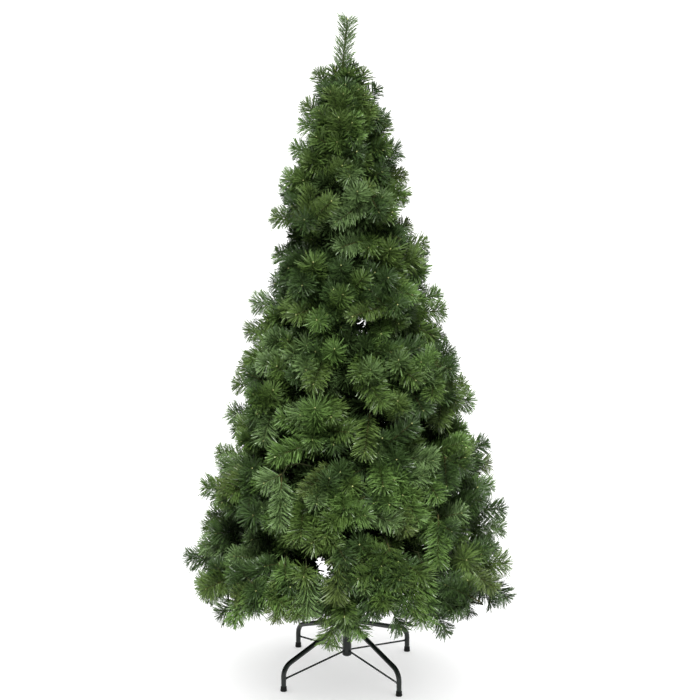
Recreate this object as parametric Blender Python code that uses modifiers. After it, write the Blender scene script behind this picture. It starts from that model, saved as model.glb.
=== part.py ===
"""An artificial Christmas tree, 1.8 m tall, standing in a four-legged steel stand.

Units are metres. +Z is up, the floor is Z = 0, and the origin lies under the pole.
The side that the photograph shows faces -Y.
"""

import math
from collections import namedtuple

import bmesh
import bpy
from mathutils import Matrix, Vector, noise
from mathutils.bvhtree import BVHTree

# The whole tree
TREE_HEIGHT = 1.80
GAP = 0.0003  # left between solids that touch

# Radius of the crown's outer face by height, before its lumps
CROWN_PROFILE = (
    (0.215, 0.430),
    (0.320, 0.463),
    (0.530, 0.426),
    (0.850, 0.318),
    (1.055, 0.262),
    (1.180, 0.216),
    (1.380, 0.174),
    (1.530, 0.122),
    (1.630, 0.088),
)
CROWN_LUMP_SIZE = 0.160
CROWN_LUMP_DEPTH = 0.050
CROWN_LUMP_SEED = 1487

# The pole is two steel tubes, the upper one fitting into the lower, and a top wire
POLE_RADIUS = 0.0103
POLE_UPPER_RADIUS = 0.0088
POLE_JOINT_HEIGHT = 0.98
POLE_TUBE_TOP = 1.56
TOP_WIRE_RADIUS = 0.0026
TOP_WIRE_END = TREE_HEIGHT - 0.012
POLE_SIDES = 12

# A bracket ring on the pole holds the boughs of each course
BRACKET_RADIUS = 0.0160
BRACKET_HEIGHT = 0.022

# The boughs are wrapped wires, thicker at the bracket
BOUGH_ROOT_RADIUS = 0.0048
BOUGH_END_RADIUS = 0.0036
BOUGH_SIDES = 8
BOUGH_RAYS = 24  # rays round the bough's end that measure how far off its mass is

# Uneven surfaces part the crown into courses: each one's height at the pole's axis, and its
# rise for each metre outward. The first is the crown's underside.
Surface = namedtuple("Surface", "height rise")
SURFACES = (
    Surface(0.290, -0.15),
    Surface(0.465, 0.02),
    Surface(0.705, 0.16),
    Surface(0.940, 0.30),
    Surface(1.165, 0.42),
    Surface(1.385, 0.54),
)
SURFACE_WAVE_SIZE = 0.150
SURFACE_WAVE_DEPTH = 0.030

# A course is a ring of boughs between two surfaces. turn is the first bough's, in degrees from
# +X, and inner is how far from the axis its foliage begins.
Course = namedtuple("Course", "count turn inner")
COURSES = (
    Course(6, -8.5, 0.125),
    Course(5, 54.0, 0.105),
    Course(4, 20.0, 0.085),
    Course(4, 65.0, 0.070),
    Course(3, 10.0, 0.055),
)

# Each mass of foliage is an uneven rounded block that fills its bough's share of the course
MASS_CUTS = 4
MASS_SQUARENESS = 4.4  # 2 is an ellipsoid, and more is squarer
MASS_DENTS = 0.09  # share of the block's size that its own dents take away
MASS_DENT_SIZE = 0.55
MASS_SIDE_WAVE = 0.024
MASS_SIDE_CLEARANCE = 0.007
MASS_LEVEL_CLEARANCE = 0.005

# The leading shoot and the foliage round its foot are one mass on the top wire, which leans left
# and comes back upright
TOP_MASS_INNER = 0.034
TOP_MASS_SIDES = 16
TOP_MASS_BANDS = 13
LEADER_FOOT_HEIGHT = 1.672
LEADER_RADIUS = 0.034
LEADER_KNEE_HEIGHT = 1.645
LEADER_KNEE_OFFSET = -0.014
LEADER_TIP_OFFSET = 0.001

# The stand's legs each run down from the socket's collar and bend to a vertical foot
LEG_COUNT = 4
LEG_TURN = 39.2
LEG_TUBE_RADIUS = 0.0070
LEG_REACH = 0.222
LEG_CORNER_HEIGHT = 0.067  # where the vertical and the sloping run would meet
LEG_SLOPE = 20.5
LEG_BEND_RADIUS = 0.038
LEG_BEND_STEPS = 6

# The socket is a cup that the pole stands in, with a collar for the legs
SOCKET_RADIUS = 0.0125
SOCKET_BOTTOM = 0.045
SOCKET_FLOOR = 0.003
SOCKET_TOP = 0.205
SOCKET_SIDES = 16
COLLAR_RADIUS = 0.0165
COLLAR_BOTTOM = 0.128
COLLAR_TOP = 0.160
COLLAR_BEVEL = 0.0015

# A thin rod braces each foot to the socket
BRACE_RADIUS = 0.0027
BRACE_FOOT_HEIGHT = 0.034
BRACE_SOCKET_HEIGHT = 0.060

# A flared rubber cap closes each foot
FOOT_RADIUS = 0.0090
FOOT_NECK_RADIUS = 0.0083
FOOT_FLARE_HEIGHT = 0.004
FOOT_HEIGHT = 0.013
FOOT_FLOOR = 0.003
FOOT_SIDES = 12


def clear_scene():
    """Removes whatever objects the scene starts with."""
    for obj in list(bpy.data.objects):
        bpy.data.objects.remove(obj, do_unlink=True)


def material(name, colour, roughness, metallic=0.0):
    """A plain Principled BSDF finish."""
    finish = bpy.data.materials.new(name)
    finish.use_nodes = True
    shader = finish.node_tree.nodes["Principled BSDF"]
    shader.inputs["Base Color"].default_value = (*colour, 1.0)
    shader.inputs["Roughness"].default_value = roughness
    shader.inputs["Metallic"].default_value = metallic
    return finish


def place(name, mesh, finish, collection):
    """Links a mesh to the collection as one named object."""
    obj = bpy.data.objects.new(name, mesh)
    obj.data.materials.append(finish)
    collection.objects.link(obj)
    return obj


def mesh_from(name, bm):
    """Writes a bmesh, with its faces turned outward, to a new mesh."""
    bmesh.ops.recalc_face_normals(bm, faces=bm.faces)
    mesh = bpy.data.meshes.new(name)
    bm.to_mesh(mesh)
    bm.free()
    return mesh


def polar(radius, turn, height):
    """The point at a distance from the axis, a turn in radians and a height."""
    return Vector((radius * math.cos(turn), radius * math.sin(turn), height))


def turned(name, profile, sides, finish, collection):
    """A turned solid from (radius, height) points that run down its outer side."""
    mesh = bpy.data.meshes.new(name)
    points = [(radius, 0.0, height) for radius, height in profile]
    mesh.from_pydata(points, [(i, i + 1) for i in range(len(points) - 1)], [])
    obj = place(name, mesh, finish, collection)
    screw = obj.modifiers.new("Turn", "SCREW")
    screw.steps = screw.render_steps = sides
    screw.use_merge_vertices = True
    screw.merge_threshold = 0.0001
    screw.use_smooth_shade = True
    return obj


def tube(name, points, radius, finish, collection, resolution=2):
    """A round bar that follows the points, with closed ends."""
    curve = bpy.data.curves.new(name, "CURVE")
    curve.dimensions = "3D"
    curve.bevel_depth = radius
    curve.bevel_resolution = resolution
    curve.use_fill_caps = True
    spline = curve.splines.new("POLY")
    spline.points.add(len(points) - 1)
    for control, point in zip(spline.points, points):
        control.co = (*point, 1.0)
    obj = bpy.data.objects.new(name, curve)
    curve.materials.append(finish)
    collection.objects.link(obj)
    return obj


def between(points, value):
    """Reads a line through (value, result) points, held level past its ends."""
    if value <= points[0][0]:
        return points[0][1]
    for (low, first), (high, second) in zip(points, points[1:]):
        if value <= high:
            return first + (second - first) * (value - low) / (high - low)
    return points[-1][1]


def unevenness(point, size, depth, seed):
    """A smooth random offset whose bumps are about size across and depth from low to high."""
    return depth * noise.noise(Vector(point) / size + Vector((seed * 7.3, seed * 3.1, seed * 5.7)))


def crown_radius(turn, height):
    """Radius of the foliage's outer face in one direction and at one height."""
    smooth = between(CROWN_PROFILE, height)
    lump = unevenness(polar(smooth, turn, height), CROWN_LUMP_SIZE, CROWN_LUMP_DEPTH, CROWN_LUMP_SEED)
    return smooth + lump


def surface_height(number, radius, turn):
    """Height of one of the surfaces between the courses."""
    surface = SURFACES[number]
    wave = unevenness(polar(radius, turn, 0.0), SURFACE_WAVE_SIZE, SURFACE_WAVE_DEPTH, number + 1)
    return surface.height + surface.rise * radius + wave


def level_height(number, level, radius, turn):
    """Height in a course at a share -1 to 1 of the way from its lower to its upper surface."""
    low = surface_height(number, radius, turn) + MASS_LEVEL_CLEARANCE
    high = surface_height(number + 1, radius, turn) - MASS_LEVEL_CLEARANCE
    return low + (high - low) * (level + 1.0) / 2.0


def side_turn(number, side, level, radius):
    """Direction of the uneven upright surface that parts a mass from the one before it."""
    course = COURSES[number]
    even = math.radians(course.turn) + 2.0 * math.pi * (side - 0.5) / course.count
    seed = 10 * number + side % course.count
    wave = unevenness((radius, level * 0.1, 0.0), SURFACE_WAVE_SIZE, MASS_SIDE_WAVE, seed + 20)
    return even + wave / radius


def reach(number, level, turn):
    """Distance from the axis of the crown's outer face at a level of a course."""
    radius = between(CROWN_PROFILE, SURFACES[number].height)
    for _ in range(12):
        radius = crown_radius(turn, level_height(number, level, radius, turn))
    return radius


def cell_point(number, bough_number, across, level, depth):
    """The point of a mass's cell at shares -1 to 1 across, up and out from the pole."""
    course = COURSES[number]
    middle = math.radians(course.turn) + 2.0 * math.pi * bough_number / course.count
    outer = reach(number, level, middle + across * math.pi / course.count)
    radius = course.inner + (outer - course.inner) * (depth + 1.0) / 2.0
    first = side_turn(number, bough_number, level, radius) + MASS_SIDE_CLEARANCE / radius
    last = side_turn(number, bough_number + 1, level, radius) - MASS_SIDE_CLEARANCE / radius
    turn = first + (last - first) * (across + 1.0) / 2.0
    return polar(radius, turn, level_height(number, level, radius, turn))


def rounded(direction, seed):
    """The point on a dented round block, which fits in the cube -1 to 1, in a direction."""
    total = sum(abs(part) ** MASS_SQUARENESS for part in direction)
    dent = abs(unevenness(direction, MASS_DENT_SIZE, 2.0 * MASS_DENTS, seed))
    return direction * total ** (-1.0 / MASS_SQUARENESS) * (1.0 - min(dent, MASS_DENTS))


def foliage_mass(name, number, bough_number, finish, collection):
    """One mass of foliage, which fills its bough's share of a course."""
    bm = bmesh.new()
    bmesh.ops.create_cube(bm, size=2.0)
    bmesh.ops.subdivide_edges(bm, edges=bm.edges, cuts=MASS_CUTS, use_grid_fill=True)
    for vertex in bm.verts:
        block = rounded(vertex.co.normalized(), 10 * number + bough_number)
        vertex.co = cell_point(number, bough_number, block.x, block.y, block.z)
    bmesh.ops.triangulate(bm, faces=bm.faces)
    return place(name, mesh_from(name, bm), finish, collection)


def distance_to(tree, origin, direction):
    """How far a ray from origin runs before it meets the mesh."""
    hit = tree.ray_cast(origin, direction)
    return hit[3] if hit[0] is not None else math.inf


def bracket(number):
    """(height at its ring, rise for each metre outward) of the boughs of a course."""
    low = SURFACES[number]
    high = SURFACES[number + 1]
    rise = (low.rise + high.rise) / 2.0
    return (low.height + high.height) / 2.0 + rise * BRACKET_RADIUS, rise


def bough(name, number, bough_number, mass, finish, collection):
    """A tapering wire from the bracket ring to the inner face of its mass."""
    course = COURSES[number]
    height, rise = bracket(number)
    turn = math.radians(course.turn) + 2.0 * math.pi * bough_number / course.count
    axis = polar(1.0, turn, rise).normalized()
    across = axis.orthogonal().normalized()
    root = polar(BRACKET_RADIUS + GAP + BOUGH_ROOT_RADIUS * abs(axis.z), turn, height)
    tree = BVHTree.FromPolygons(
        [vertex.co for vertex in mass.data.vertices],
        [list(face.vertices) for face in mass.data.polygons],
    )
    starts = [root]
    for ray in range(BOUGH_RAYS):
        spoke = Matrix.Rotation(2.0 * math.pi * ray / BOUGH_RAYS, 3, axis) @ across
        starts += [root + BOUGH_END_RADIUS * share * spoke for share in (0.5, 1.0)]
    length = min(distance_to(tree, start, axis) for start in starts) - GAP
    bm = bmesh.new()
    bmesh.ops.create_cone(
        bm,
        cap_ends=True,
        cap_tris=True,
        segments=BOUGH_SIDES,
        radius1=BOUGH_ROOT_RADIUS,
        radius2=BOUGH_END_RADIUS,
        depth=length,
        matrix=Matrix.Translation((0.0, 0.0, length / 2.0)),
    )
    obj = place(name, mesh_from(name, bm), finish, collection)
    obj.location = root
    obj.rotation_mode = "QUATERNION"
    obj.rotation_quaternion = axis.to_track_quat("Z", "Y")
    return obj


def lean(height):
    """How far right of the axis the top wire stands at a height."""
    knee = (LEADER_KNEE_HEIGHT, LEADER_KNEE_OFFSET)
    return between(((POLE_TUBE_TOP + GAP, 0.0), knee, (TREE_HEIGHT, LEADER_TIP_OFFSET)), height)


def bracket_profile(height, tube_radius):
    """Profile points of one bracket ring on the pole, top to bottom."""
    top = height + BRACKET_HEIGHT / 2.0
    foot = height - BRACKET_HEIGHT / 2.0
    return [(tube_radius, top), (BRACKET_RADIUS, top), (BRACKET_RADIUS, foot), (tube_radius, foot)]


def pole(finish, collection):
    """The pole with its bracket rings, from inside the socket to the end of the top wire."""
    bottom = SOCKET_BOTTOM + SOCKET_FLOOR + GAP
    heights = [bracket(number)[0] for number in reversed(range(len(COURSES)))]
    profile = [(0.0, TOP_WIRE_END), (TOP_WIRE_RADIUS, TOP_WIRE_END)]
    profile += [(TOP_WIRE_RADIUS, LEADER_KNEE_HEIGHT), (TOP_WIRE_RADIUS, POLE_TUBE_TOP)]
    profile.append((POLE_UPPER_RADIUS, POLE_TUBE_TOP))
    for height in heights:
        if height > POLE_JOINT_HEIGHT:
            profile += bracket_profile(height, POLE_UPPER_RADIUS)
    profile += [(POLE_UPPER_RADIUS, POLE_JOINT_HEIGHT), (POLE_RADIUS, POLE_JOINT_HEIGHT)]
    for height in heights:
        if height < POLE_JOINT_HEIGHT:
            profile += bracket_profile(height, POLE_RADIUS)
    profile += [(POLE_RADIUS, bottom), (0.0, bottom)]
    straight = turned("pole_straight", profile, POLE_SIDES, finish, collection)
    mesh = bpy.data.meshes.new_from_object(straight.evaluated_get(bpy.context.evaluated_depsgraph_get()))
    bpy.data.objects.remove(straight, do_unlink=True)
    for vertex in mesh.vertices:
        vertex.co.x += lean(vertex.co.z)
    obj = bpy.data.objects.new("pole", mesh)
    collection.objects.link(obj)
    return obj


def top_radius(turn, height):
    """Radius of the top mass: the crown's face, its shoulder, then the leading shoot."""
    shoulder = CROWN_PROFILE[-1][0]
    share = min(max((height - shoulder) / (LEADER_FOOT_HEIGHT - shoulder), 0.0), 1.0)
    ease = (1.0 - math.cos(share * math.pi)) / 2.0
    return crown_radius(turn, height) * (1.0 - ease) + LEADER_RADIUS * ease


def top_mass(finish, collection):
    """The foliage round the top of the pole, rising into the leading shoot."""
    number = len(COURSES)
    bore = POLE_UPPER_RADIUS + GAP
    wire_bore = TOP_WIRE_RADIUS + GAP
    bm = bmesh.new()
    loops = []
    for step in range(TOP_MASS_SIDES):
        turn = 2.0 * math.pi * step / TOP_MASS_SIDES
        rim_radius = between(CROWN_PROFILE, SURFACES[number].height)
        for _ in range(12):
            rim = surface_height(number, rim_radius, turn) + MASS_LEVEL_CLEARANCE
            rim_radius = crown_radius(turn, rim)
        foot_height = surface_height(number, TOP_MASS_INNER, turn) + MASS_LEVEL_CLEARANCE
        profile = [(wire_bore, LEADER_KNEE_HEIGHT), (wire_bore, TREE_HEIGHT)]
        for band in reversed(range(TOP_MASS_BANDS + 1)):
            height = rim + (TREE_HEIGHT - rim) * band / TOP_MASS_BANDS
            profile.append((top_radius(turn, height), height))
        profile += [(TOP_MASS_INNER, foot_height), (bore, foot_height)]
        profile += [(bore, POLE_TUBE_TOP + GAP), (wire_bore, POLE_TUBE_TOP + GAP)]
        points = [polar(radius, turn, height) for radius, height in profile]
        loops.append([bm.verts.new(point + Vector((lean(point.z), 0.0, 0.0))) for point in points])
    for step, loop in enumerate(loops):
        following = loops[(step + 1) % TOP_MASS_SIDES]
        for i in range(len(loop)):
            j = (i + 1) % len(loop)
            bm.faces.new((loop[i], loop[j], following[j], following[i]))
    bmesh.ops.triangulate(bm, faces=bm.faces)
    return place("top_mass", mesh_from("top_mass", bm), finish, collection)


def socket(finish, collection):
    """The stand's socket: a cup round the foot of the pole, with the legs' collar."""
    inner = POLE_RADIUS + GAP
    profile = [
        (inner, SOCKET_TOP),
        (SOCKET_RADIUS, SOCKET_TOP),
        (SOCKET_RADIUS, COLLAR_TOP),
        (COLLAR_RADIUS - COLLAR_BEVEL, COLLAR_TOP),
        (COLLAR_RADIUS, COLLAR_TOP - COLLAR_BEVEL),
        (COLLAR_RADIUS, COLLAR_BOTTOM + COLLAR_BEVEL),
        (COLLAR_RADIUS - COLLAR_BEVEL, COLLAR_BOTTOM),
        (SOCKET_RADIUS, COLLAR_BOTTOM),
        (SOCKET_RADIUS, SOCKET_BOTTOM),
        (0.0, SOCKET_BOTTOM),
    ]
    inside = [(0.0, SOCKET_BOTTOM + SOCKET_FLOOR), (inner, SOCKET_BOTTOM + SOCKET_FLOOR)]
    return cup("stand_socket", profile, inside, SOCKET_SIDES, finish, collection)


def cup(name, outside, inside, sides, finish, collection):
    """A turned cup: the outer profile runs down to the axis, and the inner one back up."""
    return turned(name, [*outside, *inside, outside[0]], sides, finish, collection)


def leg_centreline(turn):
    """Points along one leg: up from the foot, round the bend, and up the slope to the collar."""
    slope = math.radians(LEG_SLOPE)
    turning = math.pi / 2.0 - slope
    tangent = LEG_BEND_RADIUS * math.tan(turning / 2.0)
    bend_start = LEG_CORNER_HEIGHT - tangent
    centre = LEG_REACH - LEG_BEND_RADIUS
    points = [(LEG_REACH, FOOT_FLOOR + GAP), (LEG_REACH, bend_start)]
    for step in range(1, LEG_BEND_STEPS + 1):
        angle = turning * step / LEG_BEND_STEPS
        radius = centre + LEG_BEND_RADIUS * math.cos(angle)
        points.append((radius, bend_start + LEG_BEND_RADIUS * math.sin(angle)))
    end = COLLAR_RADIUS + GAP + LEG_TUBE_RADIUS * math.sin(slope)
    points.append((end, LEG_CORNER_HEIGHT + (LEG_REACH - end) * math.tan(slope)))
    return [polar(radius, turn, height) for radius, height in points]


def foot(name, finish, collection, position):
    """A rubber cap: a cup that flares to its flat underside."""
    inner = LEG_TUBE_RADIUS + GAP
    outside = [
        (inner, FOOT_HEIGHT),
        (FOOT_NECK_RADIUS, FOOT_HEIGHT),
        (FOOT_NECK_RADIUS, FOOT_FLARE_HEIGHT + 0.002),
        (FOOT_RADIUS, FOOT_FLARE_HEIGHT),
        (FOOT_RADIUS, 0.0),
        (0.0, 0.0),
    ]
    inside = [(0.0, FOOT_FLOOR), (inner, FOOT_FLOOR)]
    cap = cup(name, outside, inside, FOOT_SIDES, finish, collection)
    cap.location = position
    return cap


def stand(finishes, collection):
    """The socket, and four legs with their braces and feet."""
    socket(finishes["steel"], collection)
    for number in range(LEG_COUNT):
        turn = math.radians(LEG_TURN) + 2.0 * math.pi * number / LEG_COUNT
        label = number + 1
        tube(f"stand_leg_{label}", leg_centreline(turn), LEG_TUBE_RADIUS, finishes["steel"], collection)
        brace = [
            polar(LEG_REACH - LEG_TUBE_RADIUS - GAP * 2.0, turn, BRACE_FOOT_HEIGHT),
            polar(SOCKET_RADIUS + GAP * 2.0, turn, BRACE_SOCKET_HEIGHT),
        ]
        tube(f"stand_brace_{label}", brace, BRACE_RADIUS, finishes["steel"], collection, 1)
        foot(f"stand_foot_{label}", finishes["rubber"], collection, polar(LEG_REACH, turn, 0.0))


def crown(finishes, collection):
    """Every course of boughs with its masses, and the mass at the top."""
    for number, course in enumerate(COURSES):
        for bough_number in range(course.count):
            label = f"{number + 1}_{bough_number + 1}"
            mass = foliage_mass(f"mass_{label}", number, bough_number, finishes["needles"], collection)
            bough(f"bough_{label}", number, bough_number, mass, finishes["wire"], collection)
    top_mass(finishes["needles"], collection)


def main():
    """Builds the tree in a collection of its own."""
    clear_scene()
    collection = bpy.data.collections.new("christmas_tree")
    bpy.context.scene.collection.children.link(collection)
    finishes = {
        "steel": material("painted steel", (0.012, 0.022, 0.017), 0.32, 0.2),
        "rubber": material("black rubber", (0.015, 0.016, 0.016), 0.65),
        "wire": material("wrapped wire", (0.060, 0.085, 0.030), 0.60),
        "needles": material("green needles", (0.045, 0.110, 0.035), 0.55),
    }
    pole(finishes["steel"], collection)
    crown(finishes, collection)
    stand(finishes, collection)


main()
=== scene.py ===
"""Looks of an artificial Christmas tree in its four-legged steel stand.

Every mass of foliage is grown from its limb: boughs fork off the limb to the crown's outer
face, and each bough ends in sprays of plastic film needles on a wrapped wire.
"""

import logging
import math
from dataclasses import dataclass, field, replace
from enum import Enum
from typing import Iterator

import bpy
import numpy as np
from mathutils import Matrix, Vector
from mathutils.bvhtree import BVHTree


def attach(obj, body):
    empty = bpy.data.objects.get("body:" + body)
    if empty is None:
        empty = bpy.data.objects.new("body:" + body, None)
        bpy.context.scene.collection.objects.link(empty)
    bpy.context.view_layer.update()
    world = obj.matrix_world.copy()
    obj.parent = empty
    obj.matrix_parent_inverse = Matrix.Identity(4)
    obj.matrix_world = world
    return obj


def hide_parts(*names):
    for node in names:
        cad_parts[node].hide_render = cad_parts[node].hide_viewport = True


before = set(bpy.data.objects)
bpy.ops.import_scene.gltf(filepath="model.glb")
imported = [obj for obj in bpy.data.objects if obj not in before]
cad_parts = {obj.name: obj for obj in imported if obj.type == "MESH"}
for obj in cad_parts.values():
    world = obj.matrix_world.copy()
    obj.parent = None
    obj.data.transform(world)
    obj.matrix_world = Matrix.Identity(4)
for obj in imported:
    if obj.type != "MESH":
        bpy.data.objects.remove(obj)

LOG = logging.getLogger("christmas_tree")
SEED = 20
GOLDEN_TURN = math.pi * (3.0 - math.sqrt(5.0))
NEARLY_UPRIGHT = 0.05


class Tone(Enum):
    """The colours of needle film that the sprays are made of, and the painted shade of the inner sprays:
    (linear colour, share of sprays).
    """

    # A dark film dealt by chance, which is also given to side sprays behind a bough's tip as painted shade.
    DEEP = ((0.032, 0.063, 0.015), 0.25)
    LEAF = ((0.064, 0.112, 0.022), 0.30)
    MOSS = ((0.073, 0.120, 0.025), 0.18)
    GREY = ((0.094, 0.154, 0.050), 0.10)
    BRIGHT = ((0.084, 0.152, 0.034), 0.15)
    OLIVE = ((0.070, 0.104, 0.024), 0.04)
    # Painted shade: a film darker than any real one, for the inner sprays, standing in for the shade deep in
    # the crown.
    SHADE = ((0.024, 0.041, 0.013), 0.0)

    @property
    def colour(self) -> tuple[float, float, float]:
        """The film's linear base colour."""
        return self.value[0]

    @property
    def share(self) -> float:
        """The share of the sprays that take this tone."""
        return self.value[1]


def polar(radius: float, turn: float, height: float) -> np.ndarray:
    """The point at a distance from the axis, a turn in radians and a height."""
    return np.array([radius * math.cos(turn), radius * math.sin(turn), height])


def unit(vector: np.ndarray) -> np.ndarray:
    """The vector, or each row of an array of them, at length one."""
    return vector / np.linalg.norm(vector, axis=-1, keepdims=True)


def across(direction: np.ndarray) -> np.ndarray:
    """A unit vector at right angles to a direction, level unless the direction is upright.

    Args:
        direction: A unit vector.

    Returns:
        Another one, square to it.
    """
    side = np.cross(direction, (0.0, 0.0, 1.0))
    if np.linalg.norm(side) < NEARLY_UPRIGHT:
        side = np.cross(direction, (0.0, 1.0, 0.0))
    return unit(side)


def turned_about(vector: np.ndarray, axis: np.ndarray, angle: float) -> np.ndarray:
    """The vector turned about a unit axis by an angle in radians."""
    rotation = Matrix.Rotation(angle, 3, Vector(axis))
    return np.array(rotation @ Vector(vector))


# Material building


def fine_variation() -> bpy.types.NodeTree:
    """The shader group that gives a finish its fine unevenness.

    Returns:
        A group with inputs Scale and Depth, and outputs Tint (near 1), Roughness (an offset
        near 0) and Height (0 to 1).
    """
    name = "fine variation"
    if name in bpy.data.node_groups:
        return bpy.data.node_groups[name]
    group = bpy.data.node_groups.new(name, "ShaderNodeTree")
    for label, default in (("Scale", 100.0), ("Depth", 0.2)):
        socket = group.interface.new_socket(label, in_out="INPUT", socket_type="NodeSocketFloat")
        socket.default_value = default
    for label in ("Tint", "Roughness", "Height"):
        group.interface.new_socket(label, in_out="OUTPUT", socket_type="NodeSocketFloat")
    nodes = group.nodes
    links = group.links
    entry = nodes.new("NodeGroupInput")
    leave = nodes.new("NodeGroupOutput")
    place = nodes.new("ShaderNodeTexCoord")
    noise = nodes.new("ShaderNodeTexNoise")
    noise.inputs["Detail"].default_value = 3.0
    centred = nodes.new("ShaderNodeMath")
    centred.operation = "SUBTRACT"
    centred.inputs[1].default_value = 0.5
    depth = nodes.new("ShaderNodeMath")
    depth.operation = "MULTIPLY"
    tint = nodes.new("ShaderNodeMath")
    tint.operation = "ADD"
    tint.inputs[1].default_value = 1.0
    links.new(place.outputs["Object"], noise.inputs["Vector"])
    links.new(entry.outputs["Scale"], noise.inputs["Scale"])
    links.new(noise.outputs["Fac"], centred.inputs[0])
    links.new(centred.outputs[0], depth.inputs[0])
    links.new(entry.outputs["Depth"], depth.inputs[1])
    links.new(depth.outputs[0], tint.inputs[0])
    links.new(tint.outputs[0], leave.inputs["Tint"])
    links.new(depth.outputs[0], leave.inputs["Roughness"])
    links.new(noise.outputs["Fac"], leave.inputs["Height"])
    return group


@dataclass(frozen=True)
class Finish:
    """One surface finish: a base colour and gloss, both slightly uneven.

    Args:
        name: The material's name.
        colour: Linear base colour.
        roughness: Middle roughness.
        grain: Scale of the unevenness, in cycles to the metre.
        tint: How far the colour varies, as a share.
        gloss: How far the roughness varies.
        relief: Height of the bump in metres.
        specular: Level of the dielectric reflection.
    """

    name: str
    colour: tuple[float, float, float]
    roughness: float
    grain: float = 120.0
    tint: float = 0.3
    gloss: float = 0.2
    relief: float = 0.0
    specular: float = 0.5

    def material(self) -> bpy.types.Material:
        """Builds the material, where it isn't built already.

        Returns:
            The material.
        """
        if self.name in bpy.data.materials:
            return bpy.data.materials[self.name]
        made = bpy.data.materials.new(self.name)
        made.use_nodes = True
        nodes = made.node_tree.nodes
        links = made.node_tree.links
        shader = nodes["Principled BSDF"]
        shader.inputs["Specular IOR Level"].default_value = self.specular
        variation = nodes.new("ShaderNodeGroup")
        variation.node_tree = fine_variation()
        variation.inputs["Scale"].default_value = self.grain
        variation.inputs["Depth"].default_value = 1.0
        paint = nodes.new("ShaderNodeVectorMath")
        paint.operation = "SCALE"
        paint.inputs[0].default_value = self.colour
        shade = nodes.new("ShaderNodeMath")
        shade.operation = "MULTIPLY_ADD"
        shade.inputs[1].default_value = self.tint
        shade.inputs[2].default_value = 1.0
        rough = nodes.new("ShaderNodeMath")
        rough.operation = "MULTIPLY_ADD"
        rough.inputs[1].default_value = self.gloss
        rough.inputs[2].default_value = self.roughness
        links.new(variation.outputs["Roughness"], shade.inputs[0])
        links.new(variation.outputs["Roughness"], rough.inputs[0])
        links.new(shade.outputs[0], paint.inputs["Scale"])
        links.new(paint.outputs[0], shader.inputs["Base Color"])
        links.new(rough.outputs[0], shader.inputs["Roughness"])
        if self.relief:
            bump = nodes.new("ShaderNodeBump")
            bump.inputs["Distance"].default_value = self.relief
            links.new(variation.outputs["Height"], bump.inputs["Height"])
            links.new(bump.outputs["Normal"], shader.inputs["Normal"])
        return made


def needle_finish(tone: Tone) -> Finish:
    """The finish of one tone of needle film: satin plastic; the painted-shade film of the inner sprays is
    matt and without sheen.

    Args:
        tone: The film's tone.

    Returns:
        Its finish.
    """
    name = f"needle film {tone.name.lower()}"
    # The inner sprays' film is painted shade: darker than real, and without sheen.
    if tone is Tone.SHADE:
        return Finish(name, tone.colour, 0.90, grain=60.0, tint=0.5, specular=0.0)
    return Finish(name, tone.colour, 0.46, grain=150.0, tint=1.0, gloss=0.3, specular=0.45)


WRAP = Finish("wrapped wire", (0.044, 0.040, 0.012), 0.75, grain=500.0, tint=0.8, gloss=0.3, specular=0.15)
FORK = Finish("film wound bough", (0.013, 0.016, 0.005), 0.80, grain=400.0, tint=0.8, specular=0.1)
TIP = Finish("cut wire tip", (0.460, 0.480, 0.190), 0.40, grain=300.0, tint=0.4)
STEEL = Finish(
    "green black paint",
    (0.0130, 0.0190, 0.0155),
    0.17,
    grain=900.0,
    gloss=0.08,
    relief=0.00003,
    specular=0.42,
)
RUBBER = Finish("black rubber", (0.005, 0.006, 0.005), 0.50, grain=1500.0, relief=0.00005, specular=0.25)


# Gathering many small shapes into one mesh


def mesh_piece(
    name: str,
    points: np.ndarray,
    faces: np.ndarray,
    finish: Finish,
    smooth: bool,
) -> bpy.types.Object:
    """Makes one mesh object, which rides on the tree.

    Args:
        name: The piece's name.
        points: Its corners, one row each.
        faces: Its faces, one row of corner numbers each.
        finish: What it is finished in.
        smooth: Whether its faces are shaded smooth.

    Returns:
        The new object.
    """
    mesh = bpy.data.meshes.new(name)
    mesh.vertices.add(len(points))
    mesh.vertices.foreach_set("co", points.astype(np.float32).ravel())
    mesh.loops.add(faces.size)
    mesh.loops.foreach_set("vertex_index", faces.astype(np.int32).ravel())
    mesh.polygons.add(len(faces))
    mesh.polygons.foreach_set("loop_start", np.arange(0, faces.size, faces.shape[1], dtype=np.int32))
    mesh.polygons.foreach_set("use_smooth", np.full(len(faces), smooth))
    mesh.update(calc_edges=True)
    mesh.validate()
    mesh.materials.append(finish.material())
    obj = bpy.data.objects.new(name, mesh)
    bpy.context.scene.collection.objects.link(obj)
    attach(obj, "root")
    return obj


@dataclass
class Sheaf:
    """Many small shapes of one kind, gathered into one mesh of quads.

    Args:
        name: The mesh's name.
        points: The shapes' corners.
        quads: Their faces, numbered through all the corners.
        count: How many corners there are so far.
    """

    name: str
    points: list[np.ndarray] = field(default_factory=list)
    quads: list[np.ndarray] = field(default_factory=list)
    count: int = 0

    def add(self, points: np.ndarray, quads: np.ndarray) -> None:
        """Adds one shape.

        Args:
            points: Its corners, one row each.
            quads: Its faces, as four row numbers each.
        """
        self.points.append(points)
        self.quads.append(quads + self.count)
        self.count += len(points)

    @property
    def triangles(self) -> int:
        """How many triangles the shapes have."""
        return 2 * sum(len(faces) for faces in self.quads)

    def build(self, finish: Finish, smooth: bool = False) -> None:
        """Makes the mesh object, which is wire.

        Args:
            finish: What it is finished in.
            smooth: Whether its faces are shaded smooth.
        """
        points = np.concatenate(self.points)
        quads = np.concatenate(self.quads)
        mesh_piece(self.name, points, quads, finish, smooth)
        LOG.info("%s: %d triangles", self.name, self.triangles)


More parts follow.
